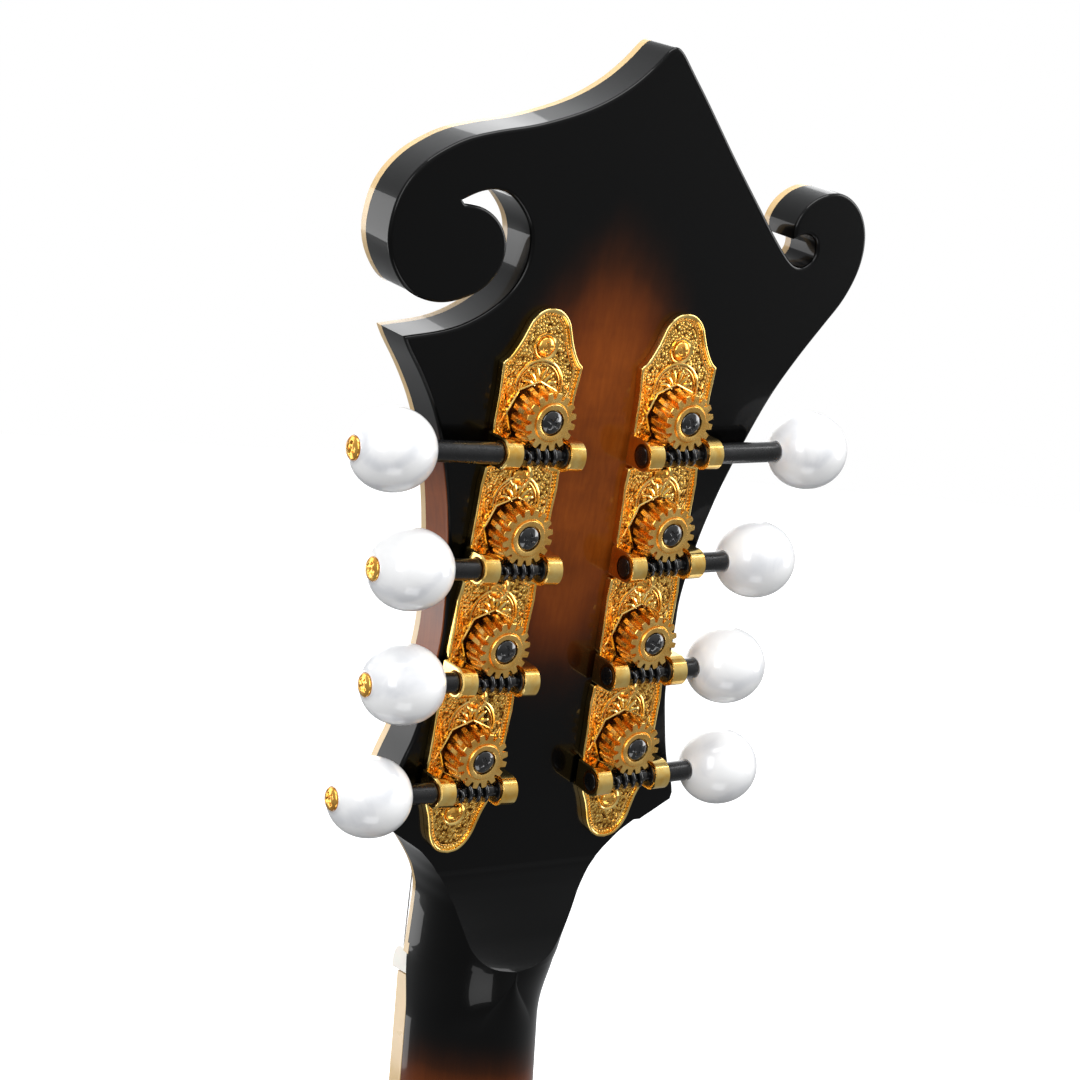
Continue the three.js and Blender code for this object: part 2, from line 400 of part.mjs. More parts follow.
// sloping shoulders
base = base.subtract(prism([[36, BZ - 6], [60, BZ - 6], [60, BZ + 6], [36, BZ + 6]].reverse(), -40, -21.2)).subtract(prism([[-60, BZ - 6], [-36, BZ - 6], [-36, BZ + 6], [-60, BZ + 6]].reverse(), -40, -21.2));
add(body, "bridge_base", base, ebony);
let saddle = profile([[BZ - 2.8, -27.3], [BZ - 2.8, -31.0], [BZ - 0.6, -31.6], [BZ + 0.8, -31.6], [BZ + 2.8, -31.1], [BZ + 2.8, -27.3]].reverse(), -38, 38);
for (const x of [-27, 27]) saddle = saddle.subtract(bar("y", 1.65, 1.65, -30.6, -20, 10, x, BZ));
add(body, "bridge_saddle", saddle, ebony);
for (const [side, x] of [["bass", -27], ["treble", 27]]) {
  add(body, "bridge_post_" + side, bar("y", 1.4, 1.4, -28.9, -19.9, 10, x, BZ), gold);
  add(body, "thumbwheel_" + side, bar("y", 6.2, 6.2, -27.15, -25.1, 16, x, BZ).subtract(bar("y", 1.65, 1.65, -30, -20, 10, x, BZ)), gold);
}

// ---- tailpiece and end pin ----
const TB = [[-312.3, 27], [-313.5, 27], [-313.5, -8.6], [-252, -20.8], [-250, -24.3], [-248.8, -24.1], [-250.6, -19.6], [-312.3, -7.4]];
add(body, "tailpiece_base", profile(TB, -14, 14).subtract(bar("z", 3.3, 3.3, -330, -290, 10, 0, 17)), gold);
const coverOut = [[-316, 5], [-317, -9], [-312, -16.5], [-255, -27.6], [-246, -27.6], [-243, -25.4], [-243, -18.0], [-312.6, -6.2], [-313.9, -5.0], [-313.9, 5]];
const coverIn = [[-314.7, 20], [-315.4, -9], [-311, -14.8], [-255, -26.2], [-240, -26.2], [-240, -16.0], [-312, -5], [-313, 20]];
add(body, "tailpiece_cover", profile(coverOut, -19, 19).subtract(profile(coverIn, -17.6, 17.6)), gold);
let pin = bar("z", 3.0, 3.0, -316.5, -292, 10, 0, 17).add(bar("z", 7.0, 5.2, -326, -318, 14, 0, 17)).add(bar("z", 4.2, 4.2, -318.5, -316, 14, 0, 17));
add(body, "end_pin", pin, ebony);

// ---- strings ----
const NUT_X = [-11.75, -9.85, -4.55, -2.65, 2.65, 4.55, 9.85, 11.75], SADDLE_X = [-20.4, -18.0, -7.6, -5.2, 5.2, 7.6, 18.0, 20.4];
const GAUGE = [0.5, 0.5, 0.33, 0.33, 0.2, 0.2, 0.14, 0.14];
const V = (x, y, z) => new THREE.Vector3(x, y, z);
const postOf = [["bass", 3], ["bass", 2], ["bass", 1], ["bass", 0], ["treble", 0], ["treble", 1], ["treble", 2], ["treble", 3]];
const NAMES = ["g_1", "g_2", "d_1", "d_2", "a_1", "a_2", "e_1", "e_2"];
for (let i = 0; i < 8; i++) {
  const r = GAUGE[i], t = tuners.find((q) => q.side === postOf[i][0] && q.k === postOf[i][1]);
  const pts = [
    V((i - 3.5) * 3.3, -22.3, -247.6).applyMatrix4(bodyToRow),
    V(SADDLE_X[i], -31.6 - r - 0.1, BZ).applyMatrix4(bodyToRow),
    V(NUT_X[i], -2.2 - r - 0.12, 1.2),
    V(t.x - t.S * (2.9 + r + 0.3), OVERLAY[0] - 5.2, t.z).applyMatrix4(headToRow),
  ];
  const rings = pts.map((p, k) => {
    const d = V(0, 0, 0);
    if (k > 0) d.add(p.clone().sub(pts[k - 1]).normalize());
    if (k + 1 < pts.length) d.add(pts[k + 1].clone().sub(p).normalize());
    d.normalize();
    const a = V(1, 0, 0).cross(d).normalize(), b = d.clone().cross(a).normalize();
    return Array.from({ length: 6 }, (_, j) => p.clone().addScaledVector(a, r * Math.cos((Math.PI * j) / 3)).addScaledVector(b, r * Math.sin((Math.PI * j) / 3)).toArray());
  });
  add(root, "string_" + NAMES[i], loft(rings), i < 4 ? bronze : steel);
}

export default root;
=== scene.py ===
"""Looks of the F-style mandolin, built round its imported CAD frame. Row frame: +Z up the neck, -Y the strings' side, +Y the back."""
import math, json
import bpy, bmesh
import numpy as np
from mathutils import Vector, Matrix

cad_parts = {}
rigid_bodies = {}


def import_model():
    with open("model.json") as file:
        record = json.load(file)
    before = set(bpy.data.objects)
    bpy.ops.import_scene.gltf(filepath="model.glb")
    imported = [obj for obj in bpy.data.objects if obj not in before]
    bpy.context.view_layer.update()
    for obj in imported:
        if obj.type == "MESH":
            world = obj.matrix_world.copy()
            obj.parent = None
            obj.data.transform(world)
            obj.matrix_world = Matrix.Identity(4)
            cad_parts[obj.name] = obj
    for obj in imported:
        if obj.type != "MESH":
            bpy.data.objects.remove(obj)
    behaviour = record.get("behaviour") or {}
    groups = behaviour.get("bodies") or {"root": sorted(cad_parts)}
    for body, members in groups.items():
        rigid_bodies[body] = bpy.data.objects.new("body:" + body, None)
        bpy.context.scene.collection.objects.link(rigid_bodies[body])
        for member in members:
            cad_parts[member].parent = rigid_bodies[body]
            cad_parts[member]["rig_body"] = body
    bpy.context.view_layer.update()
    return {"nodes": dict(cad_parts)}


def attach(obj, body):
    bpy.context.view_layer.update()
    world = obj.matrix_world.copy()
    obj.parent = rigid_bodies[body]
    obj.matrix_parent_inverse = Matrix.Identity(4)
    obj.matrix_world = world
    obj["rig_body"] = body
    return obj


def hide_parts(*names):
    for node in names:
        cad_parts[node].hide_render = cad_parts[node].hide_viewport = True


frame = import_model()
ROOT = "instrument"

# ------------------------------------------------------------------ dimensions, in millimetres
TILT, BODY_ANGLE = math.radians(9.65), math.radians(6.0)
HEAD_BACK, HEAD_CORE, HEAD_FRONT = 13.6, 4.9, 3.0
JOINT_Z, EDGE_Y, RIB, PLATE_T, ARCH = -204.0, 13.5, 38.3, 4.5, 14.0
COL_X, COL_HALF, ROW1_Z, ROW_P, SPLAY = -1.88, 16.56, 124.66, 23.0, 0.031
WORM_DROP, WORM_H, TEETH, PITCH_R = 6.92, 5.8, 16, 4.9
LEAD = 2 * math.pi * PITCH_R / TEETH
BUTTON_OUT = [32.7, 23.9, 20.9, 23.6]
BUTTON_R, BUTTON_L = 7.9, 16.6
NUT_W = 28.6
BRIDGE_Z = -145.5
rng = np.random.default_rng(7)


def rot_x(a, t=(0, 0, 0)):
    c, s = math.cos(a), math.sin(a)
    return np.array([[1, 0, 0, t[0]], [0, c, -s, t[1]], [0, s, c, t[2]], [0, 0, 0, 1]], float)


ROW = np.eye(4)
HEAD = rot_x(-TILT)
BODY = rot_x(BODY_ANGLE, (0, EDGE_Y, JOINT_Z))


def tuner_matrix(S, k):
    x = COL_X + S * (COL_HALF + k * ROW_P * math.sin(SPLAY))
    z = ROW1_Z - k * ROW_P * math.cos(SPLAY)
    X = np.array([S * math.cos(SPLAY), 0, math.sin(SPLAY)])
    Y = np.array([0, 1.0, 0])
    Z = np.cross(X, Y)
    m = np.eye(4)
    m[:3, 0], m[:3, 1], m[:3, 2], m[:3, 3] = X, Y, Z, (x, HEAD_BACK, z)
    return HEAD @ m


# ------------------------------------------------------------------ materials
class Nodes:
    def __init__(self, name):
        m = bpy.data.materials.new(name)
        m.use_nodes = True
        self.m, self.t = m, m.node_tree
        self.b = self.t.nodes["Principled BSDF"]
        self.coord = None

    def n(self, kind, **kw):
        node = self.t.nodes.new(kind)
        for k, v in kw.items():
            if k.startswith("in_"):
                node.inputs[k[3:].replace("_", " ")].default_value = v
            else:
                setattr(node, k, v)
        return node

    def link(self, a, b):
        self.t.links.new(a, b)

    def obj(self, scale=None, rot=None, loc=None):
        if self.coord is None:
            self.coord = self.n("ShaderNodeTexCoord")
        if scale is None and rot is None and loc is None:
            return self.coord.outputs["Object"]
        mp = self.n("ShaderNodeMapping")
        if scale is not None:
            mp.inputs["Scale"].default_value = scale
        if rot is not None:
            mp.inputs["Rotation"].default_value = rot
        if loc is not None:
            mp.inputs["Location"].default_value = loc
        self.link(self.coord.outputs["Object"], mp.inputs["Vector"])
        return mp.outputs["Vector"]

    def noise(self, vec, scale, detail=3.0, rough=0.5, distort=0.0):
        n = self.n("ShaderNodeTexNoise")
        n.inputs["Scale"].default_value = scale
        n.inputs["Detail"].default_value = detail
        n.inputs["Roughness"].default_value = rough
        n.inputs["Distortion"].default_value = distort
        self.link(vec, n.inputs["Vector"])
        return n.outputs["Fac"]

    def ramp(self, fac, stops, interp="LINEAR"):
        r = self.n("ShaderNodeValToRGB")
        r.color_ramp.interpolation = interp
        e = r.color_ramp.elements
        while len(e) < len(stops):
            e.new(0.5)
        for el, (p, c) in zip(e, stops):
            el.position = p
            el.color = (*c, 1) if len(c) == 3 else c
        self.link(fac, r.inputs["Fac"])
        return r.outputs["Color"]

    def math(self, op, a, b=None, clamp=False):
        m = self.n("ShaderNodeMath", operation=op, use_clamp=clamp)
        for i, v in enumerate((a, b)):
            if v is None:
                continue
            if isinstance(v, (int, float)):
                m.inputs[i].default_value = v
            else:
                self.link(v, m.inputs[i])
        return m.outputs[0]

    def mix(self, fac, a, b, blend="MIX"):
        m = self.n("ShaderNodeMix", data_type="RGBA", blend_type=blend)
        m.inputs["Factor"].default_value = 0.5
        for sock, v in ((m.inputs["Factor"], fac), (m.inputs["A"], a), (m.inputs["B"], b)):
            pass
        ins = [s for s in m.inputs if s.type == "RGBA"]
        f = m.inputs[0]
        if isinstance(fac, (int, float)):
            f.default_value = fac
        else:
            self.link(fac, f)
        for s, v in zip(ins, (a, b)):
            if isinstance(v, tuple):
                s.default_value = (*v, 1)
            else:
                self.link(v, s)
        return [o for o in m.outputs if o.type == "RGBA"][0]

    def bump(self, height, strength=0.2, distance=0.0002, normal=None):
        b = self.n("ShaderNodeBump")
        b.inputs["Strength"].default_value = strength
        b.inputs["Distance"].default_value = distance
        self.link(height, b.inputs["Height"])
        if normal is not None:
            self.link(normal, b.inputs["Normal"])
        self.link(b.outputs["Normal"], self.b.inputs["Normal"])
        return b.outputs["Normal"]

    def set(self, **kw):
        for k, v in kw.items():
            s = self.b.inputs[k.replace("_", " ")]
            if isinstance(v, (int, float, tuple)):
                s.default_value = v
            else:
                self.link(v, s)
        return self


def srgb(r, g, b):
    return tuple(((c / 255 + 0.055) / 1.055) ** 2.4 if c > 10 else c / 255 / 12.92 for c in (r, g, b))


def sep(N, vec):
    s = N.n("ShaderNodeSeparateXYZ")
    N.link(vec, s.inputs[0])
    return s.outputs


def mat_neck():
    """Gloss lacquer: black, shading to tobacco brown in the middle of the headstock's back and down the neck."""
    N = Nodes("lacquered_neck_wood")
    o = N.obj()
    x, y, z = sep(N, o)
    # soft oval on the headstock's back
    wob = N.noise(N.obj(scale=(1, 1, 0.35)), 90, 3, 0.6)
    w = N.math("MULTIPLY", N.math("SUBTRACT", wob, 0.5), 0.22)
    dx = N.math("DIVIDE", N.math("ADD", x, 0.0010), 0.0245)
    zz = N.math("SUBTRACT", z, 0.108)
    up = N.math("DIVIDE", N.math("MAXIMUM", zz, 0.0), 0.050)
    dn = N.math("DIVIDE", N.math("MINIMUM", zz, 0.0), 0.048)
    dz = N.math("ADD", up, dn)
    d = N.math("SQRT", N.math("ADD", N.math("MULTIPLY", dx, dx), N.math("MULTIPLY", dz, dz)))
    d = N.math("ADD", d, w)
    oval = N.n("ShaderNodeMapRange", interpolation_type="SMOOTHSTEP")
    N.link(d, oval.inputs["Value"])
    for k, v in (("From Min", 0.25), ("From Max", 1.12), ("To Min", 1.0), ("To Max", 0.0)):
        oval.inputs[k].default_value = v
    # the sides between the tuners are brown as well
    side = N.math("ABSOLUTE", x)
    sd = N.n("ShaderNodeMapRange", interpolation_type="SMOOTHSTEP")
    N.link(side, sd.inputs["Value"])
    for k, v in (("From Min", 0.0262), ("From Max", 0.0275), ("To Min", 0.0), ("To Max", 1.0)):
        sd.inputs[k].default_value = v
    geo = N.n("ShaderNodeNewGeometry")
    nx = sep(N, geo.outputs["True Normal"])[0]
    wall = N.n("ShaderNodeMapRange", interpolation_type="SMOOTHSTEP")
    N.link(N.math("ABSOLUTE", nx), wall.inputs["Value"])
    for k, v in (("From Min", 0.75), ("From Max", 0.97), ("To Min", 0.0), ("To Max", 1.0)):
        wall.inputs[k].default_value = v
    zs = N.math("DIVIDE", N.math("ABSOLUTE", N.math("SUBTRACT", z, 0.088)), 0.030)
    band = N.n("ShaderNodeMapRange", interpolation_type="SMOOTHSTEP")
    N.link(zs, band.inputs["Value"])
    for k, v in (("From Min", 0.45), ("From Max", 1.1), ("To Min", 1.0), ("To Max", 0.0)):
        band.inputs[k].default_value = v
    sidef = N.math("MULTIPLY", wall.outputs[0], band.outputs[0])
    # the neck's shaft
    nk = N.n("ShaderNodeMapRange", interpolation_type="SMOOTHSTEP")
    N.link(N.math("ADD", z, N.math("MULTIPLY", w, 0.02)), nk.inputs["Value"])
    for k, v in (("From Min", -0.034), ("From Max", -0.009), ("To Min", 1.0), ("To Max", 0.0)):
        nk.inputs[k].default_value = v
    heel = N.n("ShaderNodeMapRange", interpolation_type="SMOOTHSTEP")
    N.link(z, heel.inputs["Value"])
    for k, v in (("From Min", -0.200), ("From Max", -0.165), ("To Min", 0.25), ("To Max", 1.0)):
        heel.inputs[k].default_value = v
    neck = N.math("MULTIPLY", nk.outputs[0], heel.outputs[0])
    f = N.math("MAXIMUM", N.math("MAXIMUM", oval.outputs[0], N.math("MULTIPLY", sidef, 1.0)), neck)
    # grain and pores of the wood under the lacquer
    grain = N.noise(N.obj(scale=(1, 1, 0.055)), 900, 5, 0.65, 0.4)
    fig = N.noise(N.obj(scale=(0.25, 0.25, 1)), 160, 3, 0.55, 0.8)
    g = N.math("ADD", N.math("MULTIPLY", grain, 0.6), N.math("MULTIPLY", fig, 0.4))
    brown = N.ramp(g, [(0.28, srgb(112, 52, 10)), (0.5, srgb(132, 64, 14)), (0.74, srgb(150, 76, 20))])
    deep = N.ramp(f, [(0.0, srgb(2, 2, 2)), (0.25, srgb(22, 8, 2)), (0.60, srgb(82, 34, 6)), (1.0, srgb(132, 62, 12))])
    col = N.mix(N.math("POWER", f, 1.6), deep, brown)
    N.set(Base_Color=col, Roughness=0.3, Coat_Weight=1.0, Coat_Roughness=0.03, Coat_IOR=1.22, Specular_IOR_Level=0.08)
    ripple = N.noise(o, 55, 2, 0.5)
    fine = N.noise(N.obj(scale=(1, 1, 0.1)), 1500, 2, 0.5)
    N.bump(N.math("ADD", N.math("MULTIPLY", ripple, 1.0), N.math("MULTIPLY", fine, 0.06)), 0.25, 0.00006)
    return N.m


def mat_gold(name, rough=0.17, var=0.1, col=(255, 222, 138), dark=(246, 190, 86), bump=0.0, scale=900):
    N = Nodes(name)
    n1 = N.noise(N.obj(), 260, 3, 0.6)
    n2 = N.noise(N.obj(), scale, 4, 0.7)
    c = N.ramp(n1, [(0.3, srgb(*dark)), (0.62, srgb(*col))])
    r = N.n("ShaderNodeMapRange")
    N.link(n2, r.inputs["Value"])
    for k, v in (("From Min", 0.3), ("From Max", 0.7), ("To Min", rough), ("To Max", rough + var)):
        r.inputs[k].default_value = v
    N.set(Base_Color=c, Metallic=1.0, Roughness=r.outputs[0])
    if bump:
        N.bump(N.noise(N.obj(), scale * 1.6, 3, 0.6), bump, 0.00012)
    return N.m


def mat_simple(name, col, rough, metal=0.0, noise=0.12, nscale=500, coat=0.0, coat_rough=0.05, bump=0.0, bscale=900, bdist=0.00005, **kw):
    N = Nodes(name)
    f = N.noise(N.obj(), nscale, 4, 0.6)
    lo = tuple(max(0.0, c * (1 - noise)) for c in col)
    hi = tuple(min(1.0, c * (1 + noise)) for c in col)
    N.set(Base_Color=N.ramp(f, [(0.3, lo), (0.7, hi)]), Metallic=metal, Coat_Weight=coat, Coat_Roughness=coat_rough)
    r = N.n("ShaderNodeMapRange")
    N.link(N.noise(N.obj(), nscale * 0.6, 3, 0.6), r.inputs["Value"])
    for k, v in (("From Min", 0.3), ("From Max", 0.7), ("To Min", rough * 0.85), ("To Max", min(1, rough * 1.2))):
        r.inputs[k].default_value = v
    N.set(Roughness=r.outputs[0])
    if bump:
        N.bump(N.noise(N.obj(), bscale, 3, 0.6), bump, bdist)
    for k, v in kw.items():
        N.b.inputs[k.replace("_", " ")].default_value = v
    return N.m


def mat_pearl(name="pearl", tint=(246, 246, 247)):
    """Cloudy white pearl with drifting bands of a slightly darker shade."""
    N = Nodes(name)
    wv = N.n("ShaderNodeTexWave", wave_type="BANDS", bands_direction="DIAGONAL")
    wv.inputs["Scale"].default_value = 48
    wv.inputs["Distortion"].default_value = 9.0
    wv.inputs["Detail"].default_value = 2.5
    wv.inputs["Detail Scale"].default_value = 0.8
    N.link(N.obj(), wv.inputs["Vector"])
    cl = N.noise(N.obj(), 130, 3, 0.55, 1.2)
    f = N.math("ADD", N.math("MULTIPLY", wv.outputs["Fac"], 0.5), N.math("MULTIPLY", cl, 0.6))
    c = N.ramp(f, [(0.25, srgb(226, 227, 230)), (0.5, srgb(*tint)), (0.8, srgb(252, 252, 252))])
    N.set(Base_Color=c, Roughness=0.22, Coat_Weight=0.6, Coat_Roughness=0.04, Subsurface_Weight=0.15, Subsurface_Radius=(0.004, 0.004, 0.004), Subsurface_Scale=0.5, Specular_IOR_Level=0.5)
    return N.m


def mat_stipple():
    """Cast ground of the plates: fine grains, with painted highlight on the grain tops and painted shade, brown to near
    black, in the pits.
    """
    N = Nodes("gold_stippled_ground")
    v = N.n("ShaderNodeTexVoronoi", feature="F1")
    v.inputs["Scale"].default_value = 1900
    N.link(N.obj(), v.inputs["Vector"])
    g = N.noise(N.obj(), 1300, 3, 0.6)
    f = N.math("ADD", N.math("MULTIPLY", v.outputs["Distance"], 0.75), N.math("MULTIPLY", g, 0.5))
    # the ramp follows grain height: its light end is painted highlight on the tops, its brown and dark end is painted
    # shade in the pits
    c = N.ramp(f, [(0.30, srgb(255, 228, 146)), (0.58, srgb(242, 186, 84)), (0.78, srgb(158, 102, 34)), (0.92, srgb(76, 44, 12))])
    N.set(Base_Color=c, Metallic=1.0, Roughness=0.27)
    N.bump(N.math("SUBTRACT", 1.0, f), 0.9, 0.00022)
    return N.m


M = {}
M["neck"] = mat_neck()
M["stipple"] = mat_stipple()
M["gold"] = mat_gold("gold_polished", 0.10, 0.08)
M["gold_cast"] = mat_gold("gold_cast_ground", 0.24, 0.16, (250, 192, 92), (206, 134, 40), 0.6, 2200)
M["gold_gear"] = mat_gold("gold_cut_gear", 0.20, 0.14, (255, 210, 124), (236, 172, 76), 0.12, 1800)
M["gold_screw"] = mat_gold("gold_screw", 0.14, 0.12, (255, 200, 100), (214, 140, 44))
M["black_steel"] = mat_simple("blackened_steel", srgb(12, 12, 13), 0.2, 0.35, 0.2, 700, 0.7, 0.08, 0.03, 1500)
M["black_screw"] = mat_simple("black_screw", srgb(6, 6, 7), 0.15, 0.1, 0.2, 900, 0.8, 0.04)
M["black_gloss"] = mat_simple("black_lacquer", srgb(4, 4, 4), 0.2, 0.0, 0.3, 300, 1.0, 0.03, Coat_IOR=1.25, Specular_IOR_Level=0.1)
M["pearl"] = mat_pearl()
M["cream"] = mat_simple("cream_binding", srgb(214, 180, 124), 0.3, 0.0, 0.06, 160, 0.5, 0.06, 0.05, 700)
M["bone"] = mat_simple("bone_nut", srgb(238, 232, 222), 0.35, 0.0, 0.04, 300, 0.3, 0.15, 0.06, 900, Subsurface_Weight=0.1)


# ------------------------------------------------------------------ mesh helpers
def make(name, V, F, mat, Mx=ROW, body=ROOT, slot=None, angle=35, wn=True, recalc=True, mats=None, fmat=None):
    V = np.asarray(V, float).reshape(-1, 3)
    P = (V @ Mx[:3, :3].T + Mx[:3, 3]) * 0.001
    me = bpy.data.meshes.new(name)
    me.from_pydata(P.tolist(), [], [list(map(int, f)) for f in F])
    me.validate()
    bm = bmesh.new()
    bm.from_mesh(me)
    if recalc:
        bmesh.ops.recalc_face_normals(bm, faces=bm.faces)
    for f in bm.faces:
        f.smooth = True
    bm.to_mesh(me)
    bm.free()
    if angle < 180:
        me.set_sharp_from_angle(angle=math.radians(angle))
    ob = bpy.data.objects.new(name, me)
    bpy.context.scene.collection.objects.link(ob)
    for m in mats or [mat]:
        me.materials.append(m)
    if fmat is not None:
        me.polygons.foreach_set("material_index", np.asarray(fmat, np.int32))
    if wn:
        w = ob.modifiers.new("normals", "WEIGHTED_NORMAL")
        w.keep_sharp = True
        w.weight = 50
    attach(ob, body)
    return ob


class Mesh:
    """Gathers loose shells into one object."""
    def __init__(self):
        self.V, self.F, self.m = [], [], []
        self.n = 0

    def add(self, V, F, mi=0, Mx=None):
        V = np.asarray(V, float).reshape(-1, 3)
        if Mx is not None:
            V = V @ Mx[:3, :3].T + Mx[:3, 3]
        self.V.append(V)
        for f in F:
            self.F.append([int(i) + self.n for i in f])
            self.m.append(mi)
        self.n += len(V)
        return self

    def make(self, name, mat, **kw):
        mats = kw.pop("mats", None)
        return make(name, np.vstack(self.V), self.F, mat, mats=mats, fmat=self.m if mats else None, **kw)


def grid_faces(n, m, wrap_n=False, wrap_m=False):
    """Quads of an n by m grid of vertices, row-major."""
    F = []
    for i in range(n if wrap_n else n - 1):
        a = i * m
        b = ((i + 1) % n) * m
        for j in range(m if wrap_m else m - 1):
            k = (j + 1) % m
            F.append((a + j, a + k, b + k, b + j))
    return F


def loft(rings, caps=True):
    R = np.asarray(rings, float)
    n, m = R.shape[:2]
    F = grid_faces(n, m, False, True)
    if caps:
        F.append(tuple(range(m))[::-1])
        F.append(tuple((n - 1) * m + j for j in range(m)))
    return R.reshape(-1, 3), F


def revolve(prof, axis="y", n=48, centre=(0, 0, 0)):
    """prof: (radius, height) pairs, ends may have radius 0."""
    rings = []
    for r, h in prof:
        r = max(r, 1e-4)
        a = np.arange(n) * 2 * math.pi / n
        c, s, z = r * np.cos(a), r * np.sin(a), np.full(n, h)
        rings.append(np.stack({"y": (c, z, s), "x": (z, c, s), "z": (c, s, z)}[axis], 1) + np.array(centre))
    return loft(rings)


def resample(P, step, closed=True):
    P = np.asarray(P, float)
    if closed:
        P = np.vstack([P, P[:1]])
    d = np.r_[0, np.cumsum(np.linalg.norm(np.diff(P, axis=0), axis=1))]
    n = max(3, int(round(d[-1] / step)))
    t = np.linspace(0, d[-1], n + 1)
    Q = np.stack([np.interp(t, d, P[:, i]) for i in range(P.shape[1])], 1)
    return Q[:-1] if closed else Q


def catmull(P, closed=False, per=8):
    P = np.asarray(P, float)
    n = len(P)
    out = []
    for i in range(n if closed else n - 1):
        p1, p2 = P[i], P[(i + 1) % n]
        p0 = P[(i - 1) % n] if closed or i > 0 else 2 * p1 - p2
        p3 = P[(i + 2) % n] if closed or i + 2 < n else 2 * p2 - p1
        t0 = 0.0
        t1 = t0 + max(1e-6, np.linalg.norm(p1 - p0)) ** 0.5
        t2 = t1 + max(1e-6, np.linalg.norm(p2 - p1)) ** 0.5
        t3 = t2 + max(1e-6, np.linalg.norm(p3 - p2)) ** 0.5
        for t in np.linspace(t1, t2, per, endpoint=False):
            A1 = (t1 - t) / (t1 - t0) * p0 + (t - t0) / (t1 - t0) * p1
            A2 = (t2 - t) / (t2 - t1) * p1 + (t - t1) / (t2 - t1) * p2
            A3 = (t3 - t) / (t3 - t2) * p2 + (t - t2) / (t3 - t2) * p3
            B1 = (t2 - t) / (t2 - t0) * A1 + (t - t0) / (t2 - t0) * A2
            B2 = (t3 - t) / (t3 - t1) * A2 + (t - t1) / (t3 - t1) * A3
            out.append((t2 - t) / (t2 - t1) * B1 + (t - t1) / (t2 - t1) * B2)
    if not closed:
        out.append(P[-1])
    return np.array(out)


def smooth_outline(P, corners, step=0.7, rounds=3):
    """A closed outline through P, smooth except at the listed corner points."""
    P = np.asarray(P, float)
    ci = sorted(int(np.argmin(np.linalg.norm(P - np.array(c), axis=1))) for c in corners)
    out = []
    segs = [(ci[i], ci[(i + 1) % len(ci)]) for i in range(len(ci))]
    for a, b in segs:
        idx = list(range(a, b + 1)) if b > a else list(range(a, len(P))) + list(range(0, b + 1))
        Q = resample(catmull(P[idx], False, 10), step, False)
        for _ in range(rounds * 3):
            Q[1:-1] = 0.5 * Q[1:-1] + 0.25 * (Q[:-2] + Q[2:])
        out.append(Q[:-1])
    return np.vstack(out)


def area(P):
    x, y = P[:, 0], P[:, 1]
    return 0.5 * np.sum(x * np.roll(y, -1) - np.roll(x, -1) * y)


def inset(P, d, limit=1.5):
    """Moves a closed outline inwards by d; where its sides would cross, they meet in one point instead."""
    P = np.asarray(P, float)
    s = 1 if area(P) > 0 else -1
    a = P - np.roll(P, 1, 0)
    b = np.roll(P, -1, 0) - P
    na = np.stack([-a[:, 1], a[:, 0]], 1) / np.maximum(np.linalg.norm(a, axis=1), 1e-9)[:, None]
    nb = np.stack([-b[:, 1], b[:, 0]], 1) / np.maximum(np.linalg.norm(b, axis=1), 1e-9)[:, None]
    n = na + nb
    n /= np.maximum(np.linalg.norm(n, axis=1), 1e-6)[:, None]
    k = 1 / np.maximum((n * nb).sum(1), 1 / limit)
    Q = P + s * n * (d * k)[:, None]
    if d < 0.2:
        return Q
    # how far each moved point is from the outline it came from
    A, B = P, np.roll(P, -1, 0)
    AB = B - A
    L = np.maximum((AB * AB).sum(1), 1e-12)
    bad = np.zeros(len(P), bool)
    for i in range(0, len(Q), 256):
        q = Q[i:i + 256, None, :]
        t = np.clip(((q - A[None]) * AB[None]).sum(2) / L[None], 0, 1)
        dist = np.linalg.norm(q - (A[None] + t[..., None] * AB[None]), axis=2).min(1)
        bad[i:i + 256] = dist < d * 0.985
    if not bad.any() or bad.all():
        return Q
    m = len(P)
    good = np.flatnonzero(~bad)
    for g0, g1 in zip(good, np.r_[good[1:], good[0] + m]):
        if g1 - g0 < 2:
            continue
        p, q = Q[g0], Q[g1 % m]
        # the two sides' crossing, or their middle
        dp = p - Q[(g0 - 1) % m]
        dq = q - Q[(g1 + 1) % m]
        den = dp[0] * dq[1] - dp[1] * dq[0]
        c = (p + q) / 2
        if abs(den) > 1e-9:
            r = q - p
            t = (r[0] * dq[1] - r[1] * dq[0]) / den
            x = p + t * dp
            if np.linalg.norm(x - c) < 2.0 * max(0.5, np.linalg.norm(p - q)):
                c = x
        for j in range(g0 + 1, g1):
            Q[j % m] = c
    return Q


def inside(X, P):
    """Which of the points X lie in the closed outline P."""
    X, P = np.asarray(X, float), np.asarray(P, float)
    A, B = P, np.roll(P, -1, 0)
    out = np.zeros(len(X), bool)
    for (x0, z0), (x1, z1) in zip(A, B):
        if z0 == z1:
            continue
        hit = ((z0 > X[:, 1]) != (z1 > X[:, 1])) & (X[:, 0] < (x1 - x0) * (X[:, 1] - z0) / (z1 - z0) + x0)
        out ^= hit
    return out


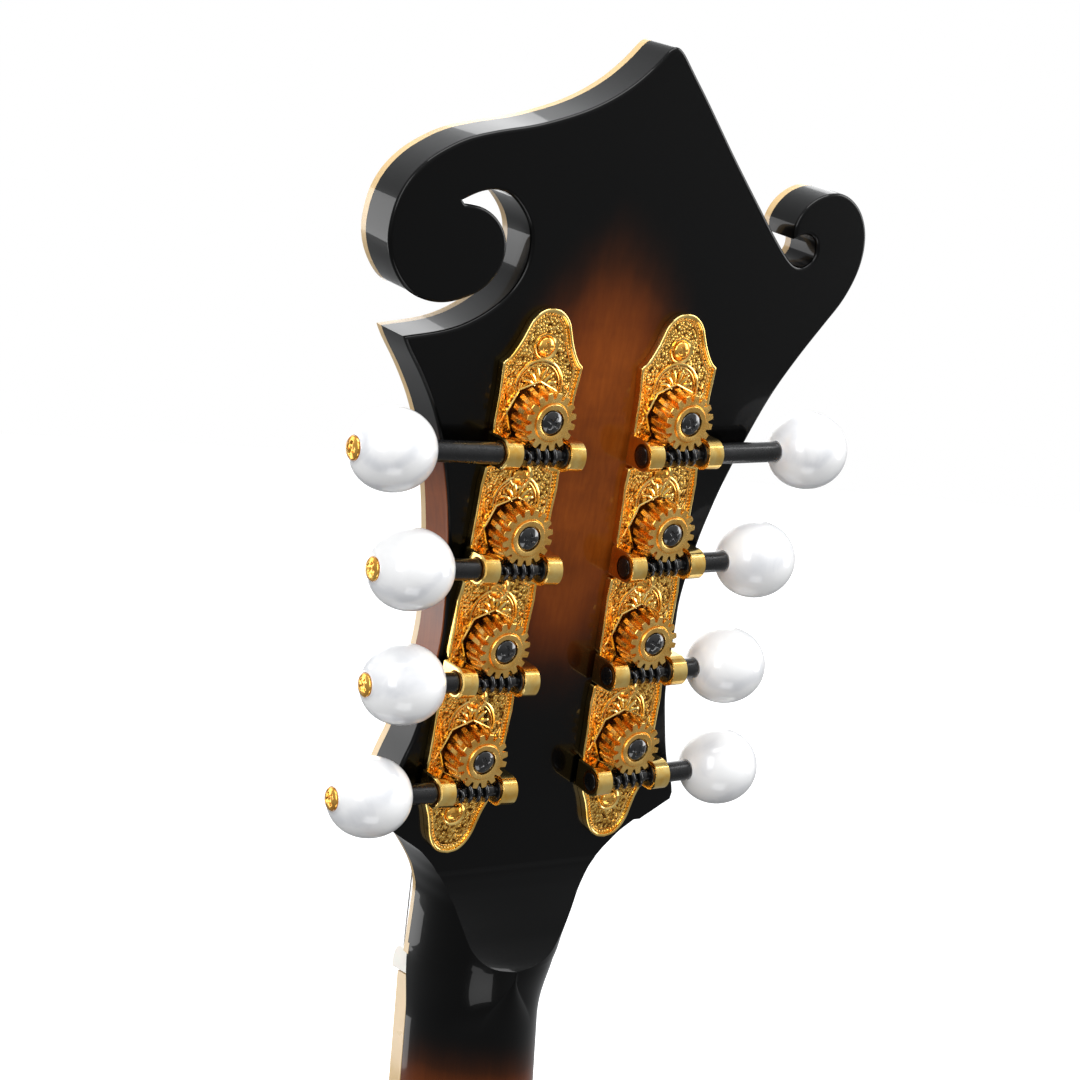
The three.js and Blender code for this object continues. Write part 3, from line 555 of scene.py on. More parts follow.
def fill(loops, extra=None, step=None):
    """Triangulates the area inside the first loop and outside the others; returns points, triangles and each loop's indices."""
    from mathutils.geometry import delaunay_2d_cdt
    pts, edges, idx = [], [], []
    for L in loops:
        n0 = len(pts)
        pts += [Vector(map(float, p)) for p in L]
        m = len(L)
        edges += [(n0 + i, n0 + (i + 1) % m) for i in range(m)]
        idx.append(list(range(n0, n0 + m)))
    if step:
        P = np.asarray(loops[0], float)
        lo, hi = P.min(0), P.max(0)
        gx, gz = np.meshgrid(np.arange(lo[0], hi[0], step), np.arange(lo[1], hi[1], step))
        gx = gx + (np.arange(gx.shape[0]) % 2)[:, None] * step * 0.5
        G = np.stack([gx.ravel(), gz.ravel()], 1)
        G = G[inside(G, P)]
        for L in loops:
            D = np.full(len(G), 1e9)
            for p in np.asarray(L, float):
                D = np.minimum(D, np.linalg.norm(G - p, axis=1))
            G = G[D > step * 0.55]
        for L in loops[1:]:
            G = G[~inside(G, L)]
        pts += [Vector(map(float, p)) for p in G]
    v, e, f, ov, oe, of = delaunay_2d_cdt(pts, edges, [], 0, 1e-5, True)
    V2 = np.array([[p[0], p[1]] for p in v])
    T = np.array([t for t in f], int)
    C = V2[T].mean(1)
    keep = inside(C, loops[0])
    for L in loops[1:]:
        keep &= ~inside(C, L)
    T = T[keep]
    back = {}
    for i, o in enumerate(ov):
        for j in o:
            back[j] = i
    return V2, T, [[back.get(i, 0) for i in L] for L in idx]


def slab(P, layers):
    """A closed outline in (x, z) raised through (inset, y) layers, with flat ends."""
    rings = []
    for d, y in layers:
        Q = inset(P, d) if d else P
        rings.append(np.stack([Q[:, 0], np.full(len(Q), y), Q[:, 1]], 1))
    return loft(rings)


def round_layers(y0, y1, r0, r1, n=5):
    """(inset, y) layers of a slab with its edges rounded by r0 at y0 and r1 at y1."""
    L = []
    s = 1 if y1 > y0 else -1
    if r0 > 0:
        for i in range(n + 1):
            a = math.pi / 2 * i / n
            L.append((r0 * (1 - math.sin(a)), y0 + s * r0 * (1 - math.cos(a))))
    else:
        L.append((0, y0))
    if r1 > 0:
        for i in range(n + 1):
            a = math.pi / 2 * i / n
            L.append((r1 * (1 - math.cos(a)), y1 - s * r1 * (1 - math.sin(a))))
    else:
        L.append((0, y1))
    return L


def sweep(path, radius, n=12, closed=False, squash=1.0, caps=True, up=(0, 1, 0)):
    """A round bar along a path of points; radius is a number or one for each point."""
    P = np.asarray(path, float)
    m = len(P)
    r = np.full(m, radius) if np.isscalar(radius) else np.asarray(radius, float)
    if closed:
        T = np.roll(P, -1, 0) - np.roll(P, 1, 0)
    else:
        T = np.gradient(P, axis=0)
    T /= np.maximum(np.linalg.norm(T, axis=1), 1e-9)[:, None]
    u = np.array(up, float)
    rings = []
    side = None
    for i in range(m):
        t = T[i]
        if side is None:
            side = np.cross(u, t)
            if np.linalg.norm(side) < 1e-3:
                side = np.cross((1, 0.1, 0.2), t)
        side = side - t * np.dot(side, t)
        side /= np.linalg.norm(side)
        nrm = np.cross(t, side)
        a = np.arange(n) * 2 * math.pi / n
        rings.append(P[i] + r[i] * (np.outer(np.cos(a), side) + squash * np.outer(np.sin(a), nrm)))
    R = np.array(rings)
    F = grid_faces(m, n, closed, True)
    if caps and not closed:
        F.append(tuple(range(n))[::-1])
        F.append(tuple((m - 1) * n + j for j in range(n)))
    return R.reshape(-1, 3), F


def smoothstep(t):
    t = np.clip(t, 0, 1)
    return t * t * (3 - 2 * t)


# ------------------------------------------------------------------ camera, light and floor
def photo_camera():
    f = 2501.259 / 1080 * 36.0
    R = np.array([[0.821747078385521, 0.1660700011830583, 0.5451169543060644],
                  [-0.018219578829751115, -0.9484474874001341, 0.31641019356468175],
                  [0.5695610468704188, -0.26994095345358754, -0.7763582262953368]])
    C = np.array([-286.8990678410078, 105.74416556139063, 378.94001793072067])
    loc = np.array([COL_X - C[0], C[2] + 13.62, C[1] + ROW1_Z, 1.0])
    W = (HEAD @ loc)[:3] * 0.001
    toh = np.array([[-1, 0, 0], [0, 0, 1], [0, 1, 0]], float)  # (u, v, w) to head-local (x, y, z)
    A = HEAD[:3, :3] @ toh
    right, down, fwd = A @ R[0], A @ R[1], A @ R[2]
    m = Matrix(((right[0], -down[0], -fwd[0], W[0]), (right[1], -down[1], -fwd[1], W[1]), (right[2], -down[2], -fwd[2], W[2]), (0, 0, 0, 1)))
    cam = bpy.data.cameras.new("photo_camera")
    cam.sensor_width = 36.0
    cam.sensor_fit = "HORIZONTAL"
    cam.lens = f
    cam.clip_start = 0.01
    cam.clip_end = 50
    ob = bpy.data.objects.new("photo_camera", cam)
    ob.matrix_world = m
    bpy.context.scene.collection.objects.link(ob)
    bpy.context.scene.camera = ob
    return np.array(W), right, down, fwd


CAM_W, CAM_R, CAM_D, CAM_F = photo_camera()


def area_light(name, loc, target, sx, sy, power, col=(1, 1, 1)):
    li = bpy.data.lights.new(name, "AREA")
    li.shape = "RECTANGLE"
    li.size, li.size_y, li.energy, li.color = sx, sy, power, col
    ob = bpy.data.objects.new(name, li)
    d = Vector(target) - Vector(loc)
    ob.location = loc
    ob.rotation_euler = d.to_track_quat("-Z", "Y").to_euler()
    bpy.context.scene.collection.objects.link(ob)
    return ob


def world():
    w = bpy.data.worlds.new("studio")
    bpy.context.scene.world = w
    w.use_nodes = True
    t = w.node_tree
    bg = t.nodes["Background"]
    bg.inputs["Color"].default_value = (1, 1, 1, 1)
    bg.inputs["Strength"].default_value = 1.0
    dim = t.nodes.new("ShaderNodeBackground")
    dim.inputs["Color"].default_value = (0.97, 0.985, 1, 1)
    co = t.nodes.new("ShaderNodeTexCoord")
    sp = t.nodes.new("ShaderNodeSeparateXYZ")
    mr = t.nodes.new("ShaderNodeMapRange")
    mr.interpolation_type = "SMOOTHSTEP"
    for k, v in (("From Min", -0.55), ("From Max", 0.75), ("To Min", 0.30), ("To Max", 0.80)):
        mr.inputs[k].default_value = v
    t.links.new(co.outputs["Generated"], sp.inputs[0])
    t.links.new(sp.outputs["Z"], mr.inputs["Value"])
    t.links.new(mr.outputs[0], dim.inputs["Strength"])
    lp = t.nodes.new("ShaderNodeLightPath")
    mx = t.nodes.new("ShaderNodeMixShader")
    t.links.new(lp.outputs["Is Camera Ray"], mx.inputs[0])
    t.links.new(dim.outputs[0], mx.inputs[1])
    t.links.new(bg.outputs[0], mx.inputs[2])
    t.links.new(mx.outputs[0], t.nodes["World Output"].inputs[0])
    sc = bpy.context.scene
    sc.view_settings.view_transform = "Standard"
    sc.view_settings.look = "None"
    sc.view_settings.exposure = 0.0
    sc.view_settings.gamma = 1.0


world()


def floor():
    me = bpy.data.meshes.new("floor")
    n = 64
    R = [(6 * math.cos(i * 2 * math.pi / n), 6 * math.sin(i * 2 * math.pi / n), -0.5405) for i in range(n)]
    me.from_pydata(R, [], [tuple(range(n))])
    ob = bpy.data.objects.new("floor", me)
    N = Nodes("floor_pale")
    f = N.noise(N.obj(), 3, 2, 0.5)
    N.set(Base_Color=N.ramp(f, [(0.3, (0.93, 0.93, 0.93)), (0.7, (0.96, 0.96, 0.96))]), Roughness=0.9)
    N.set(Emission_Color=(1, 1, 1, 1), Emission_Strength=0.62)
    me.materials.append(N.m)
    bpy.context.scene.collection.objects.link(ob)
    ob.visible_glossy = False
    ob.visible_diffuse = False


floor()
area_light("wall_left", (0.72, -1.0, 0.06), (0.0, 0.0, 0.08), 0.35, 1.0, 4)
area_light("key_left", (0.95, 0.75, 0.55), (0.0, 0.0, 0.08), 0.5, 0.9, 7)
area_light("key_right", (-0.95, 0.40, 0.40), (0.0, 0.0, 0.05), 0.4, 1.1, 8)
area_light("top", (0.0, 0.25, 1.15), (0, 0, 0.05), 0.9, 0.6, 9)
area_light("front_fill", (-0.5, -1.3, 0.3), (0, 0, -0.15), 1.2, 1.4, 8)
area_light("low_fill", (0.15, 0.75, -0.95), (0, 0, -0.05), 0.7, 0.5, 3)

# ------------------------------------------------------------------ headstock
HEAD_OUT = [
    [-38.6, 39.8], [-38.9, 41.4], [-38.1, 44.2], [-35.8, 49.1], [-33.3, 58.3], [-31.9, 65.1], [-31.2, 79.5], [-31.0, 85.0], [-32.9, 97.9], [-34.0, 102.2], [-36.7, 110.7], [-44.1, 127.8],
    [-49.4, 136.3], [-55.4, 144.5], [-58.4, 148.6], [-60.9, 154.3], [-61.6, 159.4], [-60.6, 164.3], [-57.8, 168.3], [-53.3, 170.7], [-48.2, 170.2], [-44.5, 167.9], [-42.4, 165.0], [-42.0, 163.3],
    [-42.4, 160.9], [-44.5, 162.0], [-46.0, 162.3], [-48.0, 161.3], [-48.9, 159.2], [-48.5, 156.7], [-46.5, 155.3], [-45.2, 155.1], [-43.7, 155.6], [-42.5, 156.4], [-41.1, 157.6], [-36.3, 162.4],
    [-32.8, 166.2], [-23.8, 176.0], [-14.4, 186.7], [-9.9, 191.6], [-7.6, 194.2], [-6.4, 195.4], [-5.3, 196.1], [-4.1, 195.8], [-2.8, 194.2], [-1.3, 192.4], [2.5, 188.7], [6.5, 185.8],
    [10.6, 183.5], [14.8, 181.7], [23.2, 179.0], [31.7, 177.2], [37.8, 175.5], [41.7, 173.6], [45.5, 171.1], [48.9, 167.5], [50.9, 163.4], [51.6, 157.9], [51.3, 155.2], [50.5, 152.9], [49.3, 150.7],
    [46.1, 147.1], [41.9, 145.3], [37.5, 144.9], [33.3, 145.9], [29.5, 147.8], [26.6, 151.3], [25.7, 155.5], [26.8, 158.9], [29.5, 161.7], [32.9, 163.2], [36.4, 163.5], [37.0, 164.1], [33.8, 165.7],
    [31.7, 166.3], [29.6, 166.4], [27.5, 166.1], [24.2, 163.7], [21.5, 160.3], [20.5, 156.6], [20.9, 152.0], [22.7, 148.3], [25.5, 145.3], [29.4, 142.6], [33.5, 140.7], [37.6, 139.6], [43.9, 138.6],
    [45.1, 138.4], [44.3, 136.9], [39.6, 130.4], [35.2, 122.8], [31.0, 111.1], [28.2, 99.1], [26.4, 85.9], [26.0, 76.7], [28.8, 57.7], [30.2, 54.0], [32.3, 47.0], [33.6, 42.4], [33.4, 40.8], [30.6, 39.2],
]
AF = np.array([(-30, 14.7), (-3, 14.6), (3, 15.4), (8, 15.8), (13, 15.9), (17.4, 16.0), (22, 16.3), (26.6, 18.1), (31.3, 21.3), (34, 23.5), (37, 27.5), (38.9, 30.6), (40.5, 32.4)])
CORNERS = [[-38.9, 41.4], [-38.6, 39.8], [33.4, 40.8], [33.6, 42.4], [45.1, 138.4], [36.4, 163.5], [37.0, 164.1], [-42.4, 160.9], [-42.0, 163.3]]


def head_outline():
    low_r = [[a, z] for z, a in [(38.0, 29.2), (36.2, 26.3), (34, 23.5), (31.3, 21.3), (26.6, 18.1), (22, 16.3), (17.4, 16.0), (13, 15.9), (6.1, 15.75)]]
    low_l = [[-15.75, 6.1], [-16.4, 9.6], [-17.8, 14.1], [-18.9, 18.6], [-20.3, 23.1], [-22.7, 27.4], [-26.0, 31.7], [-30.8, 35.8], [-35.9, 38.5]]
    P = HEAD_OUT + low_r + low_l
    return smooth_outline(P, CORNERS + [[15.75, 6.1], [-15.75, 6.1]], 0.7, 2)


OUTLINE = head_outline()
OUTLINE = OUTLINE if area(OUTLINE) > 0 else OUTLINE[::-1]


def clip_low(P, z0):
    """The part of the closed outline above z0, closed along z0."""
    out = []
    n = len(P)
    for i in range(n):
        a, b = P[i], P[(i + 1) % n]
        if a[1] >= z0:
            out.append(a)
        if (a[1] >= z0) != (b[1] >= z0):
            t = (z0 - a[1]) / (b[1] - a[1])
            out.append(a + t * (b - a))
    return np.array(out)


def rounded_slab(P, layers, keep_z=None):
    """A slab whose inset fades away near z = keep_z, so that its low end stays square."""
    rings = []
    for d, y in layers:
        if d:
            Q = inset(P, d)
            if keep_z is not None:
                k = smoothstep((P[:, 1] - keep_z[0]) / (keep_z[1] - keep_z[0]))[:, None]
                Q = P + (Q - P) * k
        else:
            Q = P
        rings.append(np.stack([Q[:, 0], np.full(len(Q), y), Q[:, 1]], 1))
    return loft(rings)


def recap(V, F, m):
    """Swaps a loft's two flat ends for clean triangles."""
    V = np.asarray(V, float)
    F = list(F[:-2])
    for base in (0, len(V) - m):
        P = V[base:base + m][:, [0, 2]]
        keep = [0]
        for i in range(1, m):
            if np.linalg.norm(P[i] - P[keep[-1]]) > 0.02:
                keep.append(i)
        V2, T, L = fill([P[keep]])
        back = {}
        for k, i in zip(keep, L[0]):
            back.setdefault(i, base + k)
        for t in T:
            if all(int(i) in back for i in t):
                F.append(tuple(back[int(i)] for i in t))
    return V, F


def headstock():
    # wooden slab above the tongue, its back edge rounded
    UP = clip_low(OUTLINE, 36.0)
    V, F = rounded_slab(UP, round_layers(5.0, HEAD_BACK, 0, 0.75, 6), (37.0, 41.0))
    V, F = recap(V, F, len(UP))
    ob = make("headstock_back", V, F, M["neck"], HEAD, slot="lacquered_neck", angle=40)
    # face veneer with its cream binding
    FACE = clip_low(OUTLINE, 6.1)
    inn = inset(FACE, 1.55)
    rings = []
    for Q, y in ((FACE, 5.05), (FACE, 3.25), (inset(FACE, 0.25), 3.0), (inn, 3.0), (inn, 5.05)):
        rings.append(np.stack([Q[:, 0], np.full(len(Q), y), Q[:, 1]], 1))
    R = np.array(rings)
    n, m = R.shape[:2]
    make("headstock_binding", R.reshape(-1, 3), grid_faces(n, m, True, True), M["cream"], HEAD, slot="face_veneer", angle=40)
    Q = inset(FACE, 1.52)
    V, F = slab(Q, [(0, 5.0), (0, 3.02)])
    V, F = recap(V, F, len(Q))
    face = make("headstock_face", V, F, M["black_gloss"], HEAD, slot="face_veneer", angle=40)
    return ob, face


HB, HF = headstock()
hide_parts("headstock_overlay")


# ------------------------------------------------------------------ the neck, its tongue and its heel
def tab(z, T, col=1):
    T = np.asarray(T, float)
    o = np.argsort(T[:, 0])
    return float(np.interp(z, T[o, 0], T[o, col]))


# heights are along the headstock: front half-width and middle, depth of the ramp and depth of the round back
MIDDLE = [(-30, 0), (2, 0), (7, -0.05), (10, -0.3), (13, -0.5), (17, -0.95), (21, -1.3), (26, -1.6), (30, -1.8), (41, -1.88)]
RAMP = [(60, 9.1), (30, 9.1), (27, 9.45), (24, 10.3), (21, 11.5), (17, 13.2), (13.5, 14.5), (11.5, 15.5), (10, 16.4), (8.6, 17.3), (7.2, 18.4)]
BACK = [(-40, 18.0), (0, 17.6), (3, 17.5), (7, 17.35), (10, 17.35), (20, 17.4), (41, 17.4)]
POWER = [(0, 2.05), (7, 2.35), (10, 2.5), (26, 2.55), (30, 2.7), (34, 3.6), (37, 6), (39, 14), (41, 20)]


def smooth_tab(T, w=1.2):
    """A table as a smooth function: its straight pieces averaged over a short window."""
    T = np.asarray(sorted(tuple(map(float, r)) for r in T), float)
    zz = np.linspace(T[0, 0], T[-1, 0], 4000)
    v = np.interp(zz, T[:, 0], T[:, 1])
    k = max(1, int(w / (zz[1] - zz[0])))
    ker = np.hanning(2 * k + 3)
    ker /= ker.sum()
    vp = np.pad(v, k + 1, mode="edge")
    v = np.convolve(vp, ker, "valid")
    return lambda z: float(np.interp(z, zz, v))


def neck_piece():
    af = smooth_tab(AF, 2.2)
    mid = smooth_tab(MIDDLE, 2.0)
    depth, ramp, power = smooth_tab(BACK, 2.0), smooth_tab(RAMP, 1.6), smooth_tab(POWER, 1.5)
    n, nf = 48, 39

    def head_ring(z):
        """Half of a squared oval behind the front plane, cut off by the headstock's back plane or the ramp under it."""
        m = mid(z)
        a, b, c, p = af(z) - m, depth(z), ramp(z), power(z)
        if z > 28:
            c = min(c, HEAD_BACK - 0.02 - 4.5)
        k = min(1.0, c / b)
        phi = math.asin(min(1.0, k ** (p / 2)))
        t = np.linspace(0, phi, n)
        xs, ys = a * np.cos(t) ** (2 / p), b * np.sin(t) ** (2 / p)
        edge = max(xs[-1], 0.0) if k < 0.9995 else 0.0
        flat_y = min(c, b)
        # keep the points evenly spread along the curve
        d = np.r_[0, np.cumsum(np.hypot(np.diff(xs), np.diff(ys)))]
        tt = np.linspace(0, d[-1], n)
        fine = np.linspace(0, phi, 600)
        fx, fy = a * np.cos(fine) ** (2 / p), b * np.sin(fine) ** (2 / p)
        dd = np.r_[0, np.cumsum(np.hypot(np.diff(fx), np.diff(fy)))]
        tt = np.linspace(0, dd[-1], n)
        xs, ys = np.interp(tt, dd, fx), np.interp(tt, dd, fy)
        P = [(x, 4.5 + y) for x, y in zip(xs, ys)]
        # the ramp is slightly hollow across
        dish = 0.55 * float(smoothstep((26.0 - z) / 10)) * min(1.0, edge / 7)
        P += [(x, 4.5 + flat_y - dish * (1 - (x / max(edge, 1e-6)) ** 2)) for x in np.linspace(edge, -edge, nf + 2)[1:-1]]
        P += [(-x, y) for x, y in P[:n][::-1]]
        P += [(x, 4.5) for x in np.linspace(-a, a, 23)[1:-1]]
        return np.array([(x + m, y, z) for x, y in P]) @ HEAD[:3, :3].T

    def row_ring(z):
        a = NUT_W / 2 + (-z * 2.9) / 204 - 0.05
        heel = float(smoothstep((-z - 166) / 42))
        b = 17.3 + 1.8 * (-z) / 204 + heel ** 2 * 31
        P = []
        for t in np.linspace(0, math.pi, 2 * n + nf):
            w = a * (1 - 0.32 * heel * max(0.0, math.sin(t)) ** 0.8)
            x = w * math.copysign(abs(math.cos(t)) ** (1 / (1 + 0.25 * heel)), math.cos(t))
            P.append((x, 4.55 + b * max(0.0, math.sin(t)) ** (0.97 - 0.05 * heel), z))
        P += [(x, 4.55, z) for x in np.linspace(-a, a, 23)[1:-1]]
        return np.array(P)
    top = [head_ring(z) for z in np.r_[np.linspace(40.5, 28, 24), np.linspace(27.4, 8.0, 60)]]
    low = [row_ring(z) for z in np.r_[np.linspace(-9, -20, 10), np.linspace(-24, -160, 36), np.linspace(-163, -203.6, 30)]]
    A, B = top[-1], low[0]
    L = 16.0
    da = (top[-1] - top[-2])
    da = da / np.abs((top[-1] - top[-2])[:, 2]).mean() * L * 0.9
    da[:, 0] *= 0.3
    db = (low[1] - low[0]) / 1.2222 * L * 0.9
    mids = []
    for t in np.linspace(0, 1, 22)[1:-1]:
        h00, h10, h01, h11 = 2 * t ** 3 - 3 * t ** 2 + 1, t ** 3 - 2 * t ** 2 + t, -2 * t ** 3 + 3 * t ** 2, t ** 3 - t ** 2
        mids.append(h00 * A + h10 * da + h01 * B + h11 * db)
    V, F = loft(top + mids + low)
    return make("neck_shaft", V, F, M["neck"], ROW, slot="lacquered_neck", angle=30)


NK = neck_piece()
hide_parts("neck")
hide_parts("neck")


# ------------------------------------------------------------------ string posts, their gears and screws
TWIST = math.atan(LEAD / (2 * math.pi * 2.0)) / PITCH_R
POST_FRONT = -(HEAD_BACK - HEAD_FRONT) - 11.2


def gear_mesh(mesh, mi=0):
    """A 16-tooth worm wheel with its teeth cut aslant, a raised boss ring and a dished face."""
    per = 20
    prof = []
    for i in range(TEETH):
        for t in np.linspace(0, 1, per, endpoint=False):
            # t = 0 is the middle of a gap
            d = abs(t - 0.5) * 2
            r = 4.55 + 1.25 * float(smoothstep((1 - d - 0.20) / 0.40))
            prof.append((((i + t) * 2 * math.pi) / TEETH, r))
    prof = np.array(prof)
    rings = []
    ys = np.r_[2.3, 2.42, np.linspace(2.6, 7.3, 14), 7.5, 7.6]
    for y in ys:
        e = min(y - 2.3, 7.6 - y)
        cut = 0.18 * max(0.0, 1 - e / 0.2)
        # slightly hollow across the face, where the worm runs
        hollow = 0.45 * math.exp(-((y - WORM_H) / 1.3) ** 2)
        r = np.minimum(prof[:, 1] - hollow, 5.8 - cut)
        a = prof[:, 0] + (y - WORM_H) * TWIST
        rings.append(np.stack([r * np.sin(a), np.full(len(a), y), r * np.cos(a)], 1))
    # face inwards: a flat rim, a turned groove and the boss
    n = len(prof)
    a = prof[:, 0] + (7.6 - WORM_H) * TWIST
    for r, y in ((4.3, 7.62), (3.85, 7.62), (3.74, 7.5), (3.66, 7.5), (3.6, 7.66), (3.58, 7.98), (3.5, 8.06), (2.72, 8.06), (2.58, 8.0), (2.5, 7.8), (2.46, 7.3), (1.2, 7.3)):
        rings.append(np.stack([r * np.sin(a), np.full(n, y), r * np.cos(a)], 1))
    R = np.array(rings)
    # lower cap
    V, F = loft(R)
    mesh.add(V, F, mi)


def phillips_screw(r=2.45, h=1.15, dome=0.55, y0=0.0, slot=0.42, deep=0.55, n=48, slotted=False):
    """A pan-head screw with a cross recess (or one straight slot), standing on y = y0, facing +Y; returns V, F."""
    # radial grid, the recess pressed into the dome
    rad = np.r_[np.linspace(0.03, 0.62, 16) * r, np.linspace(0.66, 0.90, 6) * r]
    m = n * 2
    rings = []
    for R_ in rad:
        a = np.arange(m) * 2 * math.pi / m
        x, z = R_ * np.cos(a), R_ * np.sin(a)
        y = y0 + h + dome * (1 - (R_ / r) ** 2) - 0.02
        arm = 0.58 * r
        if slotted:
            f = smoothstep((slot - np.abs(z)) / 0.12 + 0.5) * smoothstep((r * 0.96 - np.abs(x)) / 0.1)
            yy = y - deep * f
        else:
            wx = slot * (1.0 + 0.25 * (1 - np.minimum(1, np.abs(x) / arm)))
            wz = slot * (1.0 + 0.25 * (1 - np.minimum(1, np.abs(z) / arm)))
            f1 = smoothstep((wx - np.abs(z)) / 0.14 + 0.5) * smoothstep((arm - np.abs(x)) / 0.25 + 0.5)
            f2 = smoothstep((wz - np.abs(x)) / 0.14 + 0.5) * smoothstep((arm - np.abs(z)) / 0.25 + 0.5)
            f = np.maximum(f1, f2)
            depth = deep * (1.0 - 0.55 * np.minimum(1, R_ / arm))
            yy = y - depth * f
        rings.append(np.stack([x, np.broadcast_to(yy, x.shape), z], 1))
    rings = rings[::-1]
    a = np.arange(m) * 2 * math.pi / m
    outer = []
    for R_, y in ((0.93, h + dome * 0.1), (0.975, h * 0.93), (1.0, h * 0.78), (1.0, 0.25 * h), (0.96, 0.0)):
        outer.append(np.stack([R_ * r * np.cos(a), np.full(m, y0 + y), R_ * r * np.sin(a)], 1))
    R = np.array(outer[::-1] + rings)
    return loft(R)


def turn_y(a):
    c, s = math.cos(a), math.sin(a)
    return np.array([[c, 0, s, 0], [0, 1, 0, 0], [-s, 0, c, 0], [0, 0, 0, 1]], float)


def post_piece(S, k, Mx):
    side = "treble" if S > 0 else "bass"
    name = f"{side}_{k + 1}"
    me = Mesh()
    gear_mesh(me, 0)
    # shaft through the headstock and the waisted front end that takes the string
    pf = POST_FRONT
    V, F = revolve([(0, pf), (1.6, pf), (2.45, pf + 0.25), (2.85, pf + 0.8), (2.9, pf + 1.6), (2.75, pf + 2.4), (2.1, pf + 3.1), (1.95, pf + 4.2), (1.95, pf + 5.4), (2.25, pf + 6.4), (2.85, pf + 7.2), (2.9, pf + 7.6), (2.9, 3.2), (0, 3.2)], "y", 48)
    me.add(V, F, 1)
    V, F = phillips_screw(2.3, 0.95, 0.62, 7.0, 0.3, 0.4)
    me.add(V, F, 2, turn_y(0.4 + 1.9 * k + (0.7 if S > 0 else 0)))
    ob = me.make("string_post_fine_" + name, None, Mx=Mx, body="post_" + name, slot="gold_plate", mats=[M["gold_gear"], M["gold"], M["black_screw"]], angle=32)
    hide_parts("string_post_" + name)
    # front ferrule, a thin dished collar round the post
    f = HEAD_FRONT - HEAD_BACK
    V, F = revolve([(3.05, f - 0.02), (3.05, f - 0.75), (3.35, f - 0.95), (4.3, f - 0.7), (5.1, f - 0.28), (5.25, f - 0.02)], "y", 48)
    n = 48
    R = V.reshape(-1, n, 3)
    F = grid_faces(R.shape[0], n, True, True)
    make("ferrule_" + name, V, F, M["gold"], Mx, slot="gold_plate", angle=35)


def worm_piece(S, k, Mx):
    side = "treble" if S > 0 else "bass"
    name = f"{side}_{k + 1}"
    out = BUTTON_OUT[k]
    spin = np.eye(4)
    if S < 0:
        spin[1, 1] = spin[2, 2] = -1
    spin[:3, 3] = (0, WORM_H, -S * WORM_DROP)
    W = Mx @ spin
    me = Mesh()
    # one right-hand thread, rounded at its crest, on a waisted core
    turns, n = 3.9, 40
    rings = []
    prof = [(-0.80, 1.15), (-0.62, 1.25), (-0.42, 1.9), (-0.30, 2.25), (-0.14, 2.36), (0.14, 2.36), (0.30, 2.25), (0.42, 1.9), (0.62, 1.25), (0.80, 1.15)]
    for t in range(int(turns * n) + 1):
        th = 2 * math.pi * t / n - math.pi * turns
        x0 = LEAD * th / (2 * math.pi)
        e = min(1.0, (turns / 2 - abs(th) / (2 * math.pi)) / 0.2)
        rings.append([(x0 + dx, -(1.1 + (r - 1.1) * e) * math.sin(th), (1.1 + (r - 1.1) * e) * math.cos(th)) for dx, r in prof])
    V, F = loft(rings)
    me.add(V, F, 0)
    V, F = revolve([(0, -5.3), (1.3, -5.3), (1.3, 5.3), (0, 5.3)], "x", 28)
    me.add(V, F, 0)
    end = out - BUTTON_L / 2 - 0.1
    V, F = revolve([(0, 4.9), (2.1, 4.95), (2.36, 5.1), (2.36, 5.5), (1.97, 5.6), (1.97, 9.15), (2.05, 9.25), (2.1, 9.5), (2.1, end - 0.4), (2.0, end), (0, end)], "x", 36)
    me.add(V, F, 1)
    V, F = revolve([(0, -9.5), (1.2, -9.5), (1.8, -9.3), (1.97, -9.0), (1.97, -5.6), (2.36, -5.5), (2.36, -5.1), (2.1, -4.95), (0, -4.9)], "x", 36)
    me.add(V, F, 1)
    ob = me.make("worm_fine_" + name, None, Mx=W, body="button_" + name, slot="black_steel", mats=[M["black_steel"], M["shaft_steel"]], angle=38)
    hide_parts("worm_shaft_" + name)
    # pearl button: slightly flattened ends, with a dished seat for the gold screw
    B = W.copy()
    B[:3, 3] = (W @ np.array([out, 0, 0, 1]))[:3]
    prof = []
    for i in range(0, 41):
        a = -math.pi / 2 + math.pi * i / 40
        x = math.copysign(abs(math.sin(a)) ** 0.98, a) * BUTTON_L / 2
        r = BUTTON_R * max(0.0, math.cos(a)) ** 0.90
        prof.append((r, x))
    prof = [p for p in prof if p[0] > 2.25 or abs(p[1]) < BUTTON_L / 2 - 0.3]
    prof = [(0, -BUTTON_L / 2 + 0.5), (1.9, -BUTTON_L / 2 + 0.45), (2.2, -BUTTON_L / 2 + 0.1)] + prof + [(2.45, BUTTON_L / 2 - 0.05), (2.3, BUTTON_L / 2 - 0.3), (0, BUTTON_L / 2 - 0.35)]
    V, F = revolve(prof, "x", 72)
    bt = make("button_pearl_" + name, V, F, M["pearl"], B, "button_" + name, slot="pearl_plastic", angle=50)
    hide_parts("tuner_button_" + name)
    V, F = phillips_screw(2.25, 0.7, 0.45, 0.0)
    Q = np.array(V)
    Q = np.stack([Q[:, 1] + BUTTON_L / 2 - 0.4, Q[:, 0], Q[:, 2]], 1)
    sp = np.eye(4)
    c, s = math.cos(0.5 + k * 1.3 + S), math.sin(0.5 + k * 1.3 + S)
    sp[1:3, 1:3] = [[c, -s], [s, c]]
    F = [f[::-1] for f in F]
    make("button_screw_" + name, Q, F, M["gold_screw"], B @ sp, "button_" + name, slot="gold_plate", angle=32)


M["shaft_steel"] = mat_simple("shaft_steel", srgb(22, 22, 23), 0.28, 0.5, 0.2, 800, 0.5, 0.16, 0.03, 1600)

